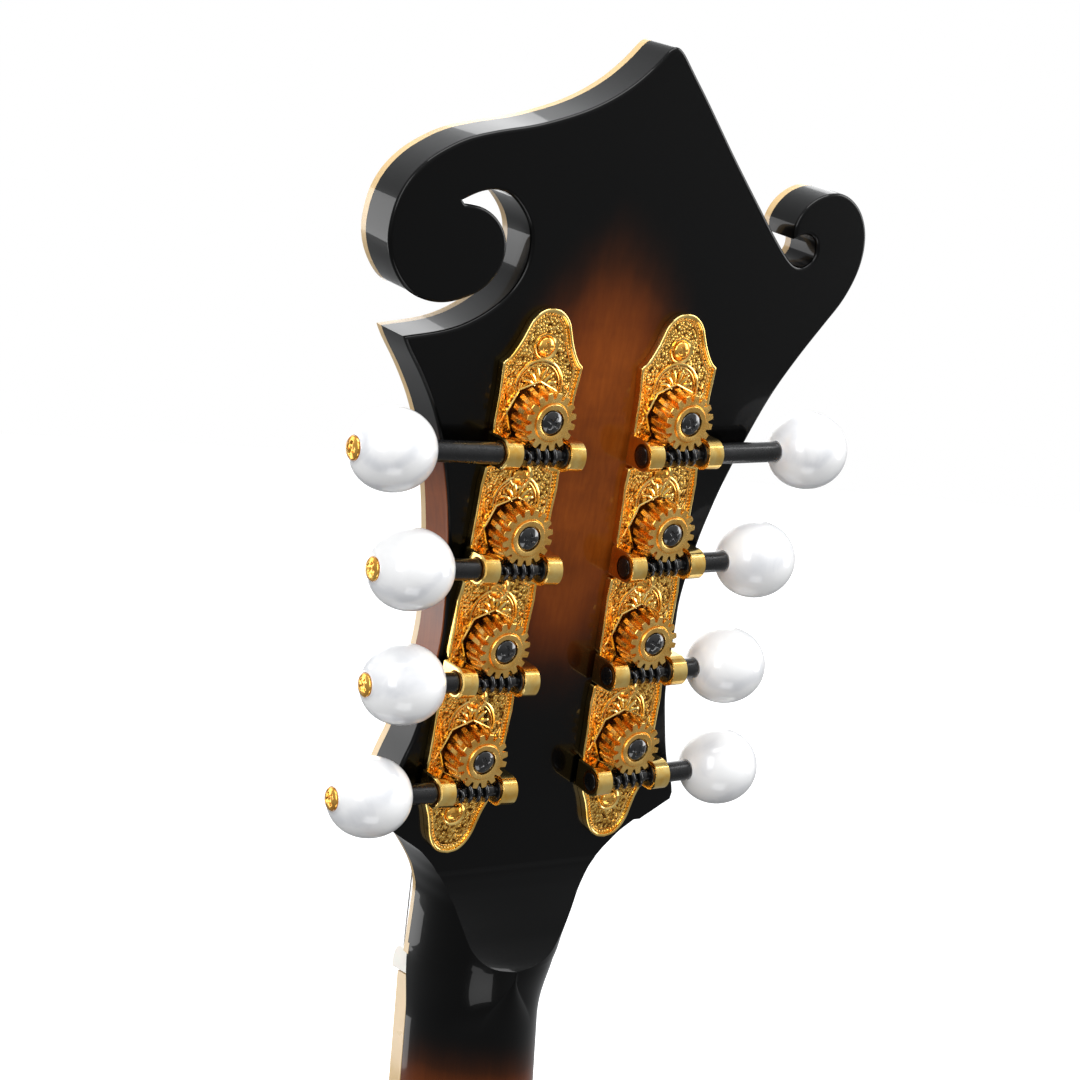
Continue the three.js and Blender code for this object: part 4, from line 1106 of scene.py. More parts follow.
# ------------------------------------------------------------------ tuner plates
def plate_outline(S):
    """Bell-shaped crest, four modules whose straight flanks turn in to the ears, and a tongue-shaped tail."""
    right = catmull([[0.0, 20.6], [1.7, 20.3], [3.3, 19.3], [4.5, 17.8], [5.2, 16.1], [6.0, 14.1], [7.3, 11.7], [8.3, 10.4], [9.2, 9.7]], False, 6).tolist()
    for k in range(4):
        d = -ROW_P * k
        if k:
            right += [[6.2, d + 12.9], [8.55, d + 12.2], [8.7, d + 11.8]]
        else:
            right += [[9.25, 9.4]]
        right += catmull([[9.0 if k else 9.2, d + 8.4], [8.85, d + 4.0], [8.8, d - 0.4], [8.75, d - 2.8], [8.4, d - 4.0], [7.3, d - 4.9], [6.3, d - 5.5], [5.7, d - 6.4], [5.6, d - 8.0]], False, 5).tolist()
        right += [[5.7, d - 9.2]]
    e = -ROW_P * 3
    right += catmull([[7.9, e - 10.3], [7.4, e - 11.6], [6.6, e - 13.4], [5.9, e - 15.6], [5.2, e - 18.0], [4.0, e - 20.2], [2.2, e - 21.7], [0, e - 22.2]], False, 6).tolist()
    left = [[-x, z] for x, z in right[1:-1]][::-1]
    P = np.array(right + left)
    P[:, 1] *= S
    return P if area(P) > 0 else P[::-1]


def plate_piece(S):
    side = "treble" if S > 0 else "bass"
    Mx = tuner_matrix(S, 0)
    P = resample(plate_outline(S), 0.35)
    me = Mesh()
    holes = [(0.0, -S * k * ROW_P) for k in range(4)]
    # the ground of the plate: the outline lofted through inset rings into a raised rim, with flat ends
    t0 = 1.15
    ring_out, ring_in = 0.0, 0.85
    rings = []
    for d, y in ((0, 0.1), (0, 1.5), (0.12, 1.7), (0.28, 1.78), (0.5, 1.78), (0.66, 1.68), (0.74, t0), (0.95, t0)):
        Q = inset(P, d, 1.2) if d else P
        rings.append(np.stack([Q[:, 0], np.full(len(Q), y), Q[:, 1]], 1))
    R = np.array(rings)
    V, F = loft(R)
    me.add(V, F, 0)
    n_rim = len(me.F)
    me.m[-1] = 1  # the ground
    me.m[-2] = 1
    # second fine line inside the rim
    Q = inset(P, 1.5, 1.2)
    V, F = sweep(np.stack([Q[:, 0], np.full(len(Q), t0 + 0.02), Q[:, 1]], 1), 0.13, 6, True)
    me.add(V, F, 0)
    # beads between the lines
    Q = resample(inset(P, 1.12, 1.2), 0.72)
    ball_V, ball_F = revolve([(0.0, 0.24), (0.12, 0.2), (0.2, 0.1), (0.22, 0.0), (0.0, -0.02)][::-1], "y", 6)
    ball_V = np.array(ball_V)
    for x, z in Q:
        me.add(ball_V + (x, t0, z), ball_F, 0)
    # leaf scrolls in relief: pairs of curling tendrils on each free field
    def tendril(pts, r0, r1):
        c = catmull(pts, False, 6)
        r = np.linspace(r0, r1, len(c))
        V, F = sweep(np.stack([c[:, 0], np.full(len(c), t0 + 0.05), c[:, 1]], 1), r, 6, squash=0.9)
        me.add(V, F, 0)
        u, v = c[-1]
        me.add(ball_V * 1.7 + (u, t0, v), ball_F, 0)
    for k in range(4):
        d = -ROW_P * k
        # half ring with a fan of leaves in it
        for rad, rr in ((5.25, 0.34), (4.6, 0.15)):
            a = np.linspace(-1.75, 1.75, 45)
            c = np.stack([rad * np.sin(a), S * (d + 5.2 + rad * np.cos(a))], 1)
            V, F = sweep(np.stack([c[:, 0], np.full(len(c), t0 + 0.12), c[:, 1]], 1), rr * (0.55 + 0.45 * np.cos(a * 0.8)), 8)
            me.add(V, F, 0)
        for b in (-1.25, -0.75, -0.28, 0.28, 0.75, 1.25):
            pts = [(1.0 * math.sin(b), d + 5.0 + 1.0 * math.cos(b)), (2.4 * math.sin(b * 0.92), d + 5.1 + 2.4 * math.cos(b * 0.92)), (3.5 * math.sin(b), d + 5.2 + 3.5 * math.cos(b)), (4.15 * math.sin(b * 1.08), d + 5.2 + 4.15 * math.cos(b * 1.08))]
            c = catmull([(x, S * z) for x, z in pts], False, 7)
            w = 0.46 * np.sin(np.linspace(0.35, math.pi - 0.2, len(c)))
            V, F = sweep(np.stack([c[:, 0], np.full(len(c), t0 + 0.10), c[:, 1]], 1), w, 8, squash=0.9)
            me.add(V, F, 0)
        for sx in (-1, 1):
            tendril([(sx * 6.2, S * (d + 1.2)), (sx * 6.6, S * (d + 3.0)), (sx * 7.2, S * (d + 4.6)), (sx * 7.0, S * (d + 6.0)), (sx * 6.5, S * (d + 5.4))], 0.26, 0.14)
            tendril([(sx * 6.4, S * (d - 0.4)), (sx * 6.9, S * (d - 1.6)), (sx * 7.5, S * (d - 2.4)), (sx * 7.3, S * (d - 3.4))], 0.24, 0.14)

    # octagonal well round each gear
    for hx, hz in holes:
        rr = [(6.5, t0 - 0.05), (6.5, 1.55), (6.3, 1.7), (6.1, 1.62), (6.0, t0 - 0.05)]
        rings = []
        m = 64
        for r, y in rr:
            a = np.arange(m) * 2 * math.pi / m
            o = math.cos(math.pi / 8) / np.cos((a % (math.pi / 4)) - math.pi / 8)
            rings.append(np.stack([hx + r * o * np.cos(a), np.full(m, y), hz + r * o * np.sin(a)], 1))
        R = np.array(rings)
        me.add(R.reshape(-1, 3), grid_faces(len(rr), m, True, True), 0)
        # the well's floor under the gear, in dark gold: painted shade of the recess
        V, F = revolve([(0, t0 - 0.2), (6.05, t0 - 0.2), (6.05, t0 + 0.06), (0, t0 + 0.06)], "y", 32, (hx, 0, hz))
        me.add(V, F, 2)
        V, F = revolve([(3.0, t0), (3.9, t0 + 0.02), (3.9, 2.1), (3.7, 2.25), (0, 2.25)], "y", 40, (hx, 0, hz))
        me.add(V, F, 0)
    # ears: bent-up bands with a round top, each with the worm's journal bore
    for k in range(4):
        z0 = -S * (WORM_DROP + k * ROW_P)
        for c in (-7.25, 7.25):
            pr = [(-3.05, 1.0), (-3.05, 2.2)]
            pr += [(-3.1, WORM_H - 1.6)]
            for a in np.linspace(math.pi * 1.06, -0.06 * math.pi, 26):
                pr.append((3.12 * math.cos(a), WORM_H + 3.12 * math.sin(a)))
            pr += [(3.1, WORM_H - 1.6), (3.05, 2.2), (3.05, 1.0)]
            pr = np.array(pr)
            cen = np.array([0, 4.4])
            rings = []
            for dx, sc in ((-1.88, 0.86), (-1.80, 0.94), (-1.62, 1.0), (1.62, 1.0), (1.80, 0.94), (1.88, 0.86)):
                q = pr.copy()
                q[:, 0] = pr[:, 0] * sc
                q[:, 1] = np.where(pr[:, 1] > 2.5, cen[1] + (pr[:, 1] - cen[1]) * sc, pr[:, 1])
                rings.append(np.stack([np.full(len(q), c + dx), q[:, 1], z0 + q[:, 0]], 1))
            V, F = loft(rings)
            me.add(V, F, 0)
            # journal bushing seen at each outer end, in dark gold: painted shade of the bore
            V, F = revolve([(0, -1.98), (2.35, -1.98), (2.45, -1.9), (2.45, 1.9), (2.35, 1.98), (0, 1.98)], "x", 28, (c, WORM_H, z0))
            me.add(V, F, 2)
    # dome screws: one above each module and one on the tail
    sites = [(0.0, S * 13.0)] + [(0.0, S * (10.6 - ROW_P * k)) for k in range(1, 4)] + [(0.0, -S * (ROW_P * 3 + 13.6))]
    for i, (x, z) in enumerate(sites):
        V, F = phillips_screw(1.9, 0.55, 0.75, t0 - 0.1, 0.3, 0.45, 32)
        T = turn_y(0.3 + 1.1 * i)
        T[:3, 3] = (x, 0, z)
        me.add(V, F, 3, T)
        V, F = revolve([(2.0, t0), (2.35, t0 + 0.28), (2.6, t0 + 0.3), (2.75, t0)], "y", 40, (x, 0, z))
        me.add(V, grid_faces(4, 40, True, True), 0)
    ob = me.make("tuner_plate_fine_" + side, None, Mx=Mx, slot="gold_plate", mats=[M["gold"], M["stipple"], M["gold_dark"], M["gold_screw"]], angle=38)
    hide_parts("tuner_plate_" + side)


# dark gold: painted shade for the well floors under the gears and for the ears' bores; the truss-rod nut uses it too
M["gold_dark"] = mat_gold("gold_recess", 0.35, 0.2, (120, 74, 26), (48, 26, 8), 0.3, 2000)
for S_ in (-1, 1):
    plate_piece(S_)
    for k_ in range(4):
        T_ = tuner_matrix(S_, k_)
        post_piece(S_, k_, T_)
        worm_piece(S_, k_, T_)

# ------------------------------------------------------------------ fingerboard, nut, frets and strings
M["ebony"] = mat_simple("ebony_wood", srgb(30, 24, 20), 0.42, 0.0, 0.35, 260, 0.15, 0.3, 0.12, 1200)
M["nickel"] = mat_simple("nickel_frets", srgb(200, 198, 190), 0.22, 1.0, 0.06, 900)
M["steel_wire"] = mat_simple("plain_string_steel", srgb(205, 206, 208), 0.25, 1.0, 0.06, 900)
M["inlay"] = mat_pearl("pearl_inlay", (232, 236, 232))
M["raw"] = mat_simple("raw_maple", srgb(214, 180, 132), 0.7, 0.0, 0.12, 120, 0.0, 0.1, 0.2, 700)


def mat_wound():
    N = Nodes("bronze_wound_wire")
    w = N.n("ShaderNodeTexWave", wave_type="BANDS", bands_direction="Z")
    w.inputs["Scale"].default_value = 640
    w.inputs["Distortion"].default_value = 0.0
    N.link(N.obj(), w.inputs["Vector"])
    # colour follows the winding bands used for the bump: the dark brown in the grooves is painted shade, the light
    # crests are painted highlight
    N.set(Base_Color=N.ramp(w.outputs["Fac"], [(0.0, srgb(120, 78, 40)), (0.6, srgb(214, 160, 96)), (1.0, srgb(236, 190, 128))]), Metallic=1.0, Roughness=0.3)
    N.bump(w.outputs["Fac"], 0.8, 0.00012)
    return N.m


M["wound"] = mat_wound()


def board_half(z):
    return NUT_W / 2 + (18.4 - NUT_W / 2) * (-z / 262.0)


def fingerboard():
    n_end = [(18.4, -262), (14.5, -261.6), (10, -260.8), (6.5, -258.9), (3.2, -256.0), (-0.5, -252.9), (-4.5, -250.6), (-9, -249.5), (-18.1, -249)]
    end = catmull(n_end, False, 5)
    sides_r = [(board_half(z), z) for z in np.linspace(-0.15, -258, 60)]
    sides_l = [(-board_half(z), z) for z in np.linspace(-246, -0.15, 60)]
    P = np.array([tuple(p) for p in sides_r] + [tuple(p) for p in end] + sides_l)
    P = P if area(P) > 0 else P[::-1]
    rings = []
    inn = inset(P, 1.5)
    for Q, y in ((P, 4.5), (P, 0.25), (inset(P, 0.18), 0.02), (inn, 0.0), (inn, 4.5)):
        rings.append(np.stack([Q[:, 0], np.full(len(Q), y), Q[:, 1]], 1))
    R = np.array(rings)
    b = make("fingerboard_binding", R.reshape(-1, 3), grid_faces(R.shape[0], R.shape[1], True, True), M["cream"], ROW, slot="ebony", angle=40)
    Q = inset(P, 1.47)
    V, F = slab(Q, [(0, 4.5), (0, 0.0)])
    V, F = recap(V, F, len(Q))
    f = make("fingerboard_ebony", V, F, M["ebony"], ROW, slot="ebony", angle=30)
    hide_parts("fingerboard")
    # frets with a rounded crown and bevelled ends
    me = Mesh()
    k = 1
    while True:
        z = -352.0 * (1 - 2 ** (-k / 12))
        if z < -247 and k > 20:
            break
        a = board_half(z) - 0.15
        x = np.linspace(-a, a, 25)
        prof = [(-1.05, 0.02), (-1.0, -0.25), (-0.75, -0.62), (-0.35, -0.86), (0, -0.93), (0.35, -0.86), (0.75, -0.62), (1.0, -0.25), (1.05, 0.02)]
        rings = []
        for xi in x:
            e = min(1.0, (a - abs(xi)) / 0.7 + 0.12)
            rings.append([(xi, y * e if y < 0 else y, z + dz) for dz, y in prof])
        V, F = loft(rings)
        me.add(V, F)
        k += 1
    me.make("frets", M["nickel"], slot="steel", angle=50)
    me = Mesh()
    for n, xs in ((3, (0,)), (5, (0,)), (7, (0,)), (10, (0,)), (12, (-6.5, 6.5)), (15, (0,)), (17, (0,)), (19, (0,))):
        z = -352.0 * (1 - (2 ** (-n / 12) + 2 ** (-(n - 1) / 12)) / 2)
        for x in xs:
            V, F = revolve([(0, 0.1), (3.0, 0.1), (3.0, -0.03), (2.9, -0.06), (0, -0.06)], "y", 40, (x, 0, z))
            me.add(V, F)
    me.make("position_dots", M["inlay"], slot="pearl_plastic", angle=40)


fingerboard()


def nut_piece():
    rings = []
    prof = [(0.15, 4.45), (0.15, -1.8), (0.5, -2.1), (1.2, -2.2), (2.4, -1.95), (3.8, -1.35), (4.8, -0.5), (5.2, 0.4), (5.2, 4.45)]
    grooves = [-11.75, -9.85, -4.55, -2.65, 2.65, 4.55, 9.85, 11.75]
    for x in np.linspace(-NUT_W / 2, NUT_W / 2, 230):
        g = 0.0
        for i, q in enumerate(grooves):
            r = [0.5, 0.5, 0.33, 0.33, 0.2, 0.2, 0.14, 0.14][i] + 0.08
            g = max(g, 0.28 * float(smoothstep((r - abs(x - q)) / 0.12 + 0.5)))
        e = float(smoothstep((NUT_W / 2 - abs(x)) / 0.5))
        rings.append([(x, (y + g if y < -0.3 else y) * (0.93 + 0.07 * e) if y < 0 else y, z) for z, y in prof])
    V, F = loft(rings)
    ob = make("nut_bone", V, F, M["bone"], ROW, slot="bone", angle=35)
    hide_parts("nut")


nut_piece()


def rod_cover():
    P = [[10.5, 6.2], [10.9, 9], [11, 12], [10.4, 16.5], [9.0, 21.0], [7.2, 27], [5.6, 30.8], [3.9, 34], [2.0, 37.4], [0, 39.5]]
    P = np.array(P + [[-x, z] for x, z in P[:-1]][::-1])
    P = smooth_outline(P, [[10.5, 6.2], [-10.5, 6.2], [0, 39.5]], 0.4, 1)
    P = P if area(P) > 0 else P[::-1]
    rings = []
    for Q, y in ((P, 2.86), (P, 1.5), (inset(P, 0.7), 1.22), (inset(P, 0.75), 1.2), (inset(P, 0.75), 2.86)):
        rings.append(np.stack([Q[:, 0], np.full(len(Q), y), Q[:, 1]], 1))
    R = np.array(rings)
    b = make("rod_cover_edge", R.reshape(-1, 3), grid_faces(R.shape[0], R.shape[1], True, True), M["cream"], HEAD, slot="ebony", angle=35)
    Q = inset(P, 0.74)
    V, F = slab(Q, [(0, 2.86), (0, 1.2)])
    V, F = recap(V, F, len(Q))
    c = make("rod_cover_plate", V, F, M["black_gloss"], HEAD, slot="ebony", angle=35)
    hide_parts("truss_rod_cover")
    for i, z in enumerate((9.5, 34.0)):
        V, F = phillips_screw(1.35, 0.35, 0.4, 0.0, 0.2, 0.3, 28)
        V = np.array(V) * (1, -1, 1) + (0, 1.2, z)
        make("rod_cover_screw_%d" % i, V, [f[::-1] for f in F], M["gold_screw"], HEAD, slot="gold_plate", angle=32)


rod_cover()
BZ = -145.5
NUT_X = [-11.75, -9.85, -4.55, -2.65, 2.65, 4.55, 9.85, 11.75]
SADDLE_X = [-20.4, -18.0, -7.6, -5.2, 5.2, 7.6, 18.0, 20.4]
GAUGE = [0.5, 0.5, 0.33, 0.33, 0.2, 0.2, 0.14, 0.14]
NAMES = ["g_1", "g_2", "d_1", "d_2", "a_1", "a_2", "e_1", "e_2"]


def P3(Mx, x, y, z):
    return (Mx @ np.array([x, y, z, 1.0]))[:3]


def strings():
    order = [(-1, 3), (-1, 2), (-1, 1), (-1, 0), (1, 0), (1, 1), (1, 2), (1, 3)]
    for i, (S, k) in enumerate(order):
        r = GAUGE[i]
        tx = COL_X + S * (COL_HALF + k * ROW_P * math.sin(SPLAY))
        tz = ROW1_Z - k * ROW_P * math.cos(SPLAY)
        R = 1.95 + r + 0.03
        tail = P3(BODY, (i - 3.5) * 3.3, -22.3, -247.6)
        tail2 = P3(BODY, (i - 3.5) * 3.3 * 1.05, -23.4, -240.0)
        sad = P3(BODY, SADDLE_X[i], -31.6 - r - 0.02, BZ)
        nut = np.array([NUT_X[i], -2.2 - r + 0.1, 1.2])
        nut2 = np.array([NUT_X[i] + 0.02 * S, -1.95 - r, 2.4])
        # tangent point on the inner side of the post, in the headstock's own frame
        n_l = np.linalg.inv(HEAD) @ np.array([*nut, 1.0])
        ph0 = math.pi if S > 0 else 0.0
        lead = math.atan2(abs(tx - S * R - n_l[0]) * (1 if (tx - S * R) * S > n_l[0] * S else -1), tz - n_l[2])
        y0, y1 = -2.9, -4.6
        path = [tail, tail2 * 0.5 + tail * 0.5, tail2, sad, nut, nut2]
        full = [np.array(p) for p in path]
        turns = 2.6
        w = -1 if S > 0 else 1
        st = ph0 - w * lead * 0
        coil = []
        for t in np.linspace(0, turns, int(turns * 26)):
            a = st + w * 2 * math.pi * t
            coil.append(P3(HEAD, tx + R * math.cos(a), y0 + (y1 - y0) * t / turns, tz + R * math.sin(a)))
        a = st + w * 2 * math.pi * turns
        coil.append(P3(HEAD, tx + (R - 1.4) * math.cos(a + w * 0.5), y1, tz + (R - 1.4) * math.sin(a + w * 0.5)))
        pts = []
        for a_, b_ in zip(full[:-1], full[1:]):
            m = max(2, int(np.linalg.norm(b_ - a_) / 12))
            for t in np.linspace(0, 1, m, endpoint=False):
                pts.append(a_ + t * (b_ - a_))
        last = full[-1]
        for t in np.linspace(0, 1, 8, endpoint=False):
            pts.append(last + t * (coil[0] - last))
        pts += coil
        V, F = sweep(pts, r, 10)
        ob = make("string_" + NAMES[i] + "_fine", V, F, M["wound"] if i < 4 else M["steel_wire"], ROW, slot="bronze_wire" if i < 4 else "steel", angle=60, wn=False)
        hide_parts("string_" + NAMES[i])


strings()

# ------------------------------------------------------------------ body
BODY_OUT = np.array([
    [16, 0], [30, -3], [46, -8], [62, -7], [76, 0], [87, 10], [94, 17.5], [96, 18], [95, 14], [89, -6], [83.5, -26], [81.5, -46], [84, -66], [92, -86], [103.5, -103], [116, -117], [123, -123.5], [125.5, -127], [124, -131], [119, -141], [118.5, -153],
    [122, -172], [125.5, -195], [125, -218], [118, -245], [102, -273], [78, -295], [47, -307.5], [16, -311.4], [0, -312], [-16, -311.4], [-47, -307.5], [-78, -295], [-102, -273], [-118, -245], [-126, -218], [-127, -195], [-121.5, -170], [-110.5, -146],
    [-99, -121], [-92, -97], [-91, -75], [-95, -52], [-101.5, -30], [-105.5, -10], [-104.5, 8], [-97, 22], [-85, 31.5], [-71, 34], [-56, 31], [-44.5, 22.5], [-38, 10], [-37, -3], [-41, -15], [-50, -25], [-62, -29], [-74, -26.5], [-82, -18], [-84, -7], [-81, 3], [-77.5, 5.5],
    [-79.5, 8.5], [-85, 7], [-90.5, -4], [-90, -18], [-81.5, -30.5], [-67, -37], [-51, -35], [-37.5, -26], [-29.5, -13.5], [-24, -3], [-16, 0]], float)
CAVITY = np.array([
    [21.6, -26.3], [27, -14.5], [46, -15], [62, -15], [72, -20], [77, -30], [75.5, -48], [78, -68], [86.5, -90], [98, -107], [109, -121.5], [112.5, -140], [112.5, -155], [116, -175], [119.5, -197], [119, -217], [112.5, -242], [97.5, -268.5], [75, -289.5], [45.5, -301.5], [15, -305.4],
    [-15, -305.4], [-45.5, -301.5], [-75, -289.5], [-97.5, -268.5], [-112.5, -242], [-120, -217], [-121, -196], [-116, -172.5], [-105, -148.5], [-93.5, -123], [-86, -98], [-85, -76], [-86.5, -58], [-80, -46], [-64, -43.5], [-48, -41], [-34, -32], [-21.6, -26.3]], float)
F_HOLE = np.array([
    [43.5, -103], [46.5, -101.5], [49, -103.5], [48.6, -107], [45.9, -108.6], [46.8, -113], [51.5, -124], [56.5, -136], [60.5, -148], [62.2, -158], [61.5, -168], [58.5, -175.5], [54, -179], [49.5, -178.5], [47, -175], [47.8, -171], [51, -169.6], [54, -171.4], [54.4, -173.8], [56.5, -172], [57.8, -166], [57.6, -158],
    [55.2, -149], [50.5, -138], [45.4, -126], [42.2, -115], [41.8, -107]], float)
CELL, NX, NZ, GX0, GZ0 = 5, 55, 73, -135, -320


def membrane():
    gx, gz = np.meshgrid(GX0 + np.arange(NX) * CELL, GZ0 + np.arange(NZ) * CELL)
    ins = inside(np.stack([gx.ravel(), gz.ravel()], 1), BODY_OUT).reshape(NZ, NX)
    u = np.zeros((NZ, NX))
    for _ in range(9000):
        v = np.zeros_like(u)
        v[1:-1, 1:-1] = (u[1:-1, :-2] + u[1:-1, 2:] + u[:-2, 1:-1] + u[2:, 1:-1] + 1) / 4
        u = np.where(ins, v, 0)
    # scaled so that its peak is 1; cubic_at reads it smoothly
    return u / u.max()


MEMB = membrane()


def cubic_at(G, fx, fz):
    i, j = np.floor(fx).astype(int), np.floor(fz).astype(int)
    a, b = fx - i, fz - j

    def w(t):
        return np.stack([(1 - t) ** 3 / 6, (3 * t ** 3 - 6 * t ** 2 + 4) / 6, (-3 * t ** 3 + 3 * t ** 2 + 3 * t + 1) / 6, t ** 3 / 6])
    wa, wb = w(a), w(b)
    out = np.zeros(len(fx))
    for m in range(4):
        for n in range(4):
            jj, ii = np.clip(j + m - 1, 0, NZ - 1), np.clip(i + n - 1, 0, NX - 1)
            out += wb[m] * wa[n] * G[jj, ii]
    return out


def lift(P):
    P = np.asarray(P, float)
    fx = np.clip((P[:, 0] - GX0) / CELL, 0, NX - 1.001)
    fz = np.clip((P[:, 1] - GZ0) / CELL, 0, NZ - 1.001)
    f = np.clip(cubic_at(MEMB, fx, fz), 0, 1)
    return ARCH * (0.3 * f + 0.7 * (3 * f * f - 2 * f ** 3))


OUT_C = [[16, 0], [95.6, 18], [125.5, -127], [-77.5, 5.5], [-79.5, 8.5], [-16, 0]]


def body_outline():
    P = BODY_OUT.copy()
    Q = smooth_outline(P, [[16, 0], [94, 17.5], [96, 18], [123, -123.5], [125.5, -127], [-77.5, 5.5], [-79.5, 8.5], [-16, 0]], 2.0, 3)
    return Q if area(Q) > 0 else Q[::-1]


B_OUT = body_outline()


def edge_distance(P, L):
    A, B = L, np.roll(L, -1, 0)
    AB = B - A
    n = np.maximum((AB * AB).sum(1), 1e-12)
    out = np.zeros(len(P))
    for i in range(0, len(P), 512):
        q = P[i:i + 512, None, :]
        t = np.clip(((q - A[None]) * AB[None]).sum(2) / n[None], 0, 1)
        out[i:i + 512] = np.linalg.norm(q - (A[None] + t[..., None] * AB[None]), axis=2).min(1)
    return out


def mat_burst(name, figure="spruce"):
    """Sunburst: honey in the middle through red-brown to black at the edge, over grain or flame figure."""
    N = Nodes(name)
    at = N.n("ShaderNodeAttribute", attribute_name="burst")
    o = N.obj()
    x, y, z = sep(N, o)
    soft = N.noise(N.obj(), 22, 3, 0.6)
    e = N.math("ADD", at.outputs["Fac"], N.math("MULTIPLY", N.math("SUBTRACT", soft, 0.5), 0.12))
    if figure == "spruce":
        g = N.noise(N.obj(scale=(1, 0.15, 0.012)), 1150, 3, 0.5, 0.1)
        base = N.ramp(g, [(0.32, srgb(196, 116, 40)), (0.55, srgb(222, 148, 62)), (0.75, srgb(232, 164, 78))])
    else:
        g = N.noise(N.obj(scale=(0.06, 0.3, 1)), 150, 4, 0.55, 1.0)
        g2 = N.noise(N.obj(scale=(1, 0.2, 0.03)), 700, 3, 0.5)
        g = N.math("ADD", N.math("MULTIPLY", g, 0.75), N.math("MULTIPLY", g2, 0.25))
        base = N.ramp(g, [(0.36, srgb(116, 56, 16)), (0.5, srgb(178, 98, 34)), (0.64, srgb(212, 138, 58))])
    shade = N.ramp(e, [(0.0, srgb(4, 3, 3)), (0.16, srgb(16, 7, 4)), (0.38, srgb(96, 34, 12)), (0.62, srgb(190, 110, 52)), (1.0, srgb(255, 255, 255))])
    N.set(Base_Color=N.mix(1.0, base, shade, "MULTIPLY"), Roughness=0.32, Coat_Weight=1.0, Coat_Roughness=0.04, Coat_IOR=1.35, Specular_IOR_Level=0.2)
    N.bump(N.math("ADD", N.math("MULTIPLY", g, 0.25), N.noise(o, 60, 2, 0.5)), 0.2, 0.00008)
    return N.m


M["spruce"] = mat_burst("spruce_burst", "spruce")
M["maple"] = mat_burst("maple_burst", "maple")


def burst_attr(ob, z_sign=None):
    me = ob.data
    n = len(me.vertices)
    co = np.zeros(n * 3)
    me.vertices.foreach_get("co", co)
    P = co.reshape(-1, 3) * 1000
    inv = np.linalg.inv(BODY)
    L = P @ inv[:3, :3].T + inv[:3, 3]
    P2 = L[:, [0, 2]]
    d = edge_distance(P2, B_OUT)
    # the light area is an oval about the middle of the body
    q = np.sqrt((P2[:, 0] / 118.0) ** 2 + ((P2[:, 1] + 168) / 150.0) ** 2)
    f = np.clip(1.35 - 1.15 * q, 0, 1) * smoothstep(d / 34.0)
    at = me.attributes.new("burst", "FLOAT", "POINT")
    at.data.foreach_set("value", f.astype(np.float32))


def plate(name, sign, y0, mat, holes, replaces, binding_name):
    """A carved plate: sign -1 for the top at y0 = 0, +1 for the back."""
    inn = inset(B_OUT, 1.7)
    keep = [0]
    for i in range(1, len(inn)):
        if np.linalg.norm(inn[i] - inn[keep[-1]]) > 0.25:
            keep.append(i)
    inn = inn[keep]
    V2, T, L = fill([inn] + holes, step=3.2)
    outer = sign * (PLATE_T + lift(V2))
    inner = sign * np.maximum(0.02, lift(V2) - 0.8)
    n = len(V2)
    V = np.vstack([np.stack([V2[:, 0], y0 + outer, V2[:, 1]], 1), np.stack([V2[:, 0], y0 + inner, V2[:, 1]], 1)])
    F = [tuple(t) for t in T] + [tuple(int(i) + n for i in t[::-1]) for t in T]
    for loop in L:
        m = len(loop)
        for i in range(m):
            a, b = loop[i], loop[(i + 1) % m]
            if a != b:
                F.append((a, b, b + n, a + n))
    ob = make(name, V, F, mat, BODY, slot="spruce_top" if sign < 0 else "maple_body", angle=48)
    burst_attr(ob)
    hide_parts(replaces)
    # cream binding round the edge, and the wooden lip under it
    e = PLATE_T
    rings = []
    O, I = B_OUT, inset(B_OUT, 1.75)
    lo, li = lift(O), lift(I)
    for Q, y in ((O, np.full(len(O), 1.6)), (O, e - 0.45 + 0 * lo), (inset(O, 0.15), e - 0.12 + 0 * lo), (inset(O, 0.45), e + 0.02 + lo), (I, e + 0.02 + li), (I, np.full(len(O), 1.6))):
        rings.append(np.stack([Q[:, 0], y0 + sign * y, Q[:, 1]], 1))
    R = np.array(rings)
    make(binding_name, R.reshape(-1, 3), grid_faces(R.shape[0], R.shape[1], True, True), M["cream"], BODY, slot="maple_body", angle=40)
    rings = []
    for Q, y in ((O, 0.02), (O, 1.59), (I, 1.59), (I, 0.02)):
        rings.append(np.stack([Q[:, 0], np.full(len(O), y0 + sign * y), Q[:, 1]], 1))
    R = np.array(rings)
    lip = make(name + "_lip", R.reshape(-1, 3), grid_faces(R.shape[0], R.shape[1], True, True), mat, BODY, slot="maple_body", angle=40)
    burst_attr(lip)


HOLE_R = smooth_outline(F_HOLE, [[45.9, -108.6], [54.4, -173.8]], 1.0, 1)
HOLE_L = HOLE_R * (-1, 1)
plate("top_plate_fine", -1, 0.0, M["spruce"], [HOLE_R, HOLE_L], "top_plate", "top_binding")
plate("back_plate_fine", 1, RIB + 0.3, M["maple"], [], "back_plate", "back_binding")


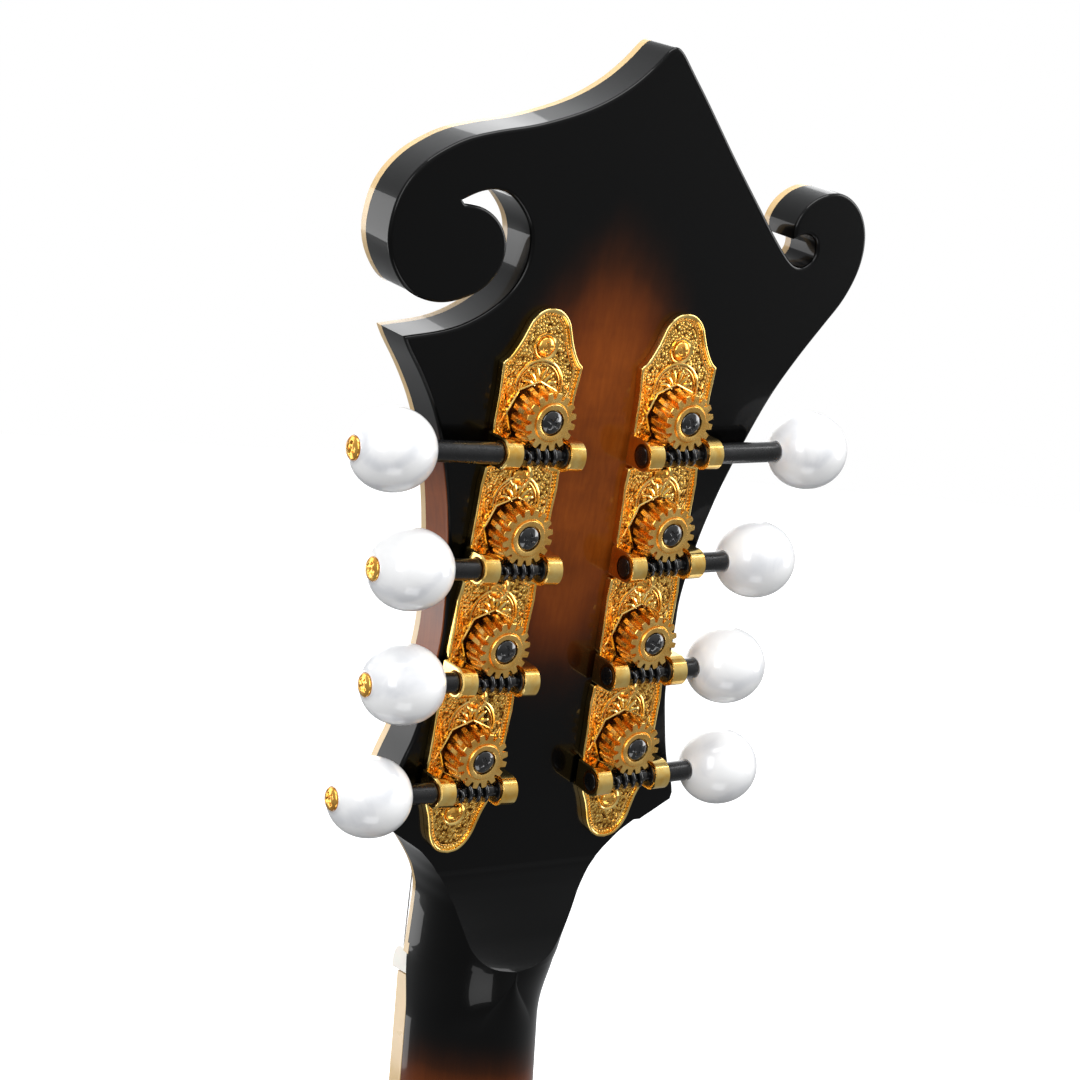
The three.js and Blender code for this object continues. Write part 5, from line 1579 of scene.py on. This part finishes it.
def ribs():
    O = inset(B_OUT, 0.5)
    C = smooth_outline(CAVITY, [[21.6, -26.3], [-21.6, -26.3]], 3.0, 1)
    V2, T, L = fill([O, C])
    n = len(V2)
    V = np.vstack([np.stack([V2[:, 0], np.full(n, 0.28), V2[:, 1]], 1), np.stack([V2[:, 0], np.full(n, RIB), V2[:, 1]], 1)])
    F = [tuple(t) for t in T] + [tuple(int(i) + n for i in t[::-1]) for t in T]
    for loop in L:
        m = len(loop)
        for i in range(m):
            a, b = loop[i], loop[(i + 1) % m]
            if a != b:
                F.append((a, b, b + n, a + n))
    ob = make("ribs_fine", V, F, M["maple"], BODY, slot="maple_body", angle=40)
    burst_attr(ob)
    me = ob.data
    # the sides stay dark red-brown, lightest at mid height of the wide bout
    vals = np.zeros(len(me.vertices))
    me.attributes["burst"].data.foreach_get("value", vals)
    co = np.zeros(len(vals) * 3)
    me.vertices.foreach_get("co", co)
    P = co.reshape(-1, 3) * 1000
    f = 0.42 * np.exp(-((P[:, 2] + 390) / 95.0) ** 2) + 0.16
    me.attributes["burst"].data.foreach_set("value", f.astype(np.float32))
    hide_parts("rib_bass", "rib_treble")


ribs()


# ------------------------------------------------------------------ bridge, tailpiece and the parts inside
def give(name, mat, bevel=0.0, seg=3, angle=32):
    """A CAD piece shown as it is, with its own procedural material and eased edges."""
    ob = frame["nodes"][name]
    ob.material_slots[0].material = mat
    if bevel:
        m = ob.modifiers.new("ease", "BEVEL")
        m.width, m.segments, m.limit_method, m.angle_limit = bevel / 1000, seg, "ANGLE", math.radians(angle)
        m.harden_normals = True


M["ebony"] = mat_simple("ebony", srgb(30, 24, 22), 0.34, 0.0, 0.35, 260, 0.25, 0.2, 0.08, 900)
M["inner_wood"] = mat_simple("bare_spruce", srgb(206, 170, 118), 0.6, 0.0, 0.25, 160, 0.0, 0.3, 0.15, 500)
for name in ("bridge_base", "bridge_saddle"):
    give(name, M["ebony"], 0.4)
give("end_pin", M["ebony"], 0.5)
give("tailpiece_base", M["gold"], 0.25)
give("tailpiece_cover", M["gold"], 0.35)
give("truss_rod", M["shaft_steel"], 0.15)
give("truss_rod_nut", M["gold_dark"], 0.2)
for name in ("head_block", "tail_block", "tone_bar_bass", "tone_bar_treble"):
    if name in frame["nodes"]:
        give(name, M["inner_wood"], 0.5)


def bridge_hardware():
    bz = BRIDGE_Z
    for side, x in (("bass", -27.0), ("treble", 27.0)):
        body = frame["nodes"]["thumbwheel_" + side]["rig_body"]
        # knurled wheel
        n = 144
        a = np.linspace(0, 2 * math.pi, n, endpoint=False)
        knurl = 0.16 * (1 + np.cos(a * 36)) / 2
        rings = []
        for y, r, k in ((-25.12, 1.72, 0), (-25.12, 5.55, 0), (-25.32, 6.0, 0.4), (-25.5, 6.18, 1), (-26.75, 6.18, 1), (-26.95, 6.0, 0.4), (-27.13, 5.55, 0), (-27.13, 3.2, 0), (-26.98, 2.9, 0), (-26.98, 1.72, 0)):
            rr = r - knurl * k
            rings.append(np.stack([x + rr * np.sin(a), np.full(n, y), bz + rr * np.cos(a)], 1))
        R = np.array(rings)
        ob = make("thumbwheel_fine_" + side, R.reshape(-1, 3), grid_faces(R.shape[0], n, True, True), M["gold"], BODY, body=body, slot=None, angle=28)
        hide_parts("thumbwheel_" + side)
        # threaded post
        body = frame["nodes"]["bridge_post_" + side]["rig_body"]
        prof = [(0, -28.85), (1.05, -28.85), (1.25, -28.7)]
        y = -28.6
        while y < -20.3:
            prof += [(1.38, y), (1.38, y + 0.12), (1.12, y + 0.3), (1.12, y + 0.38)]
            y += 0.55
        prof += [(1.2, -20.05), (0, -20.0)]
        V, F = revolve(prof, "y", 28, (x, 0, bz))
        ob = make("bridge_post_fine_" + side, V, F, M["gold"], BODY, body=body, slot=None, angle=25)
        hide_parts("bridge_post_" + side)


bridge_hardware()
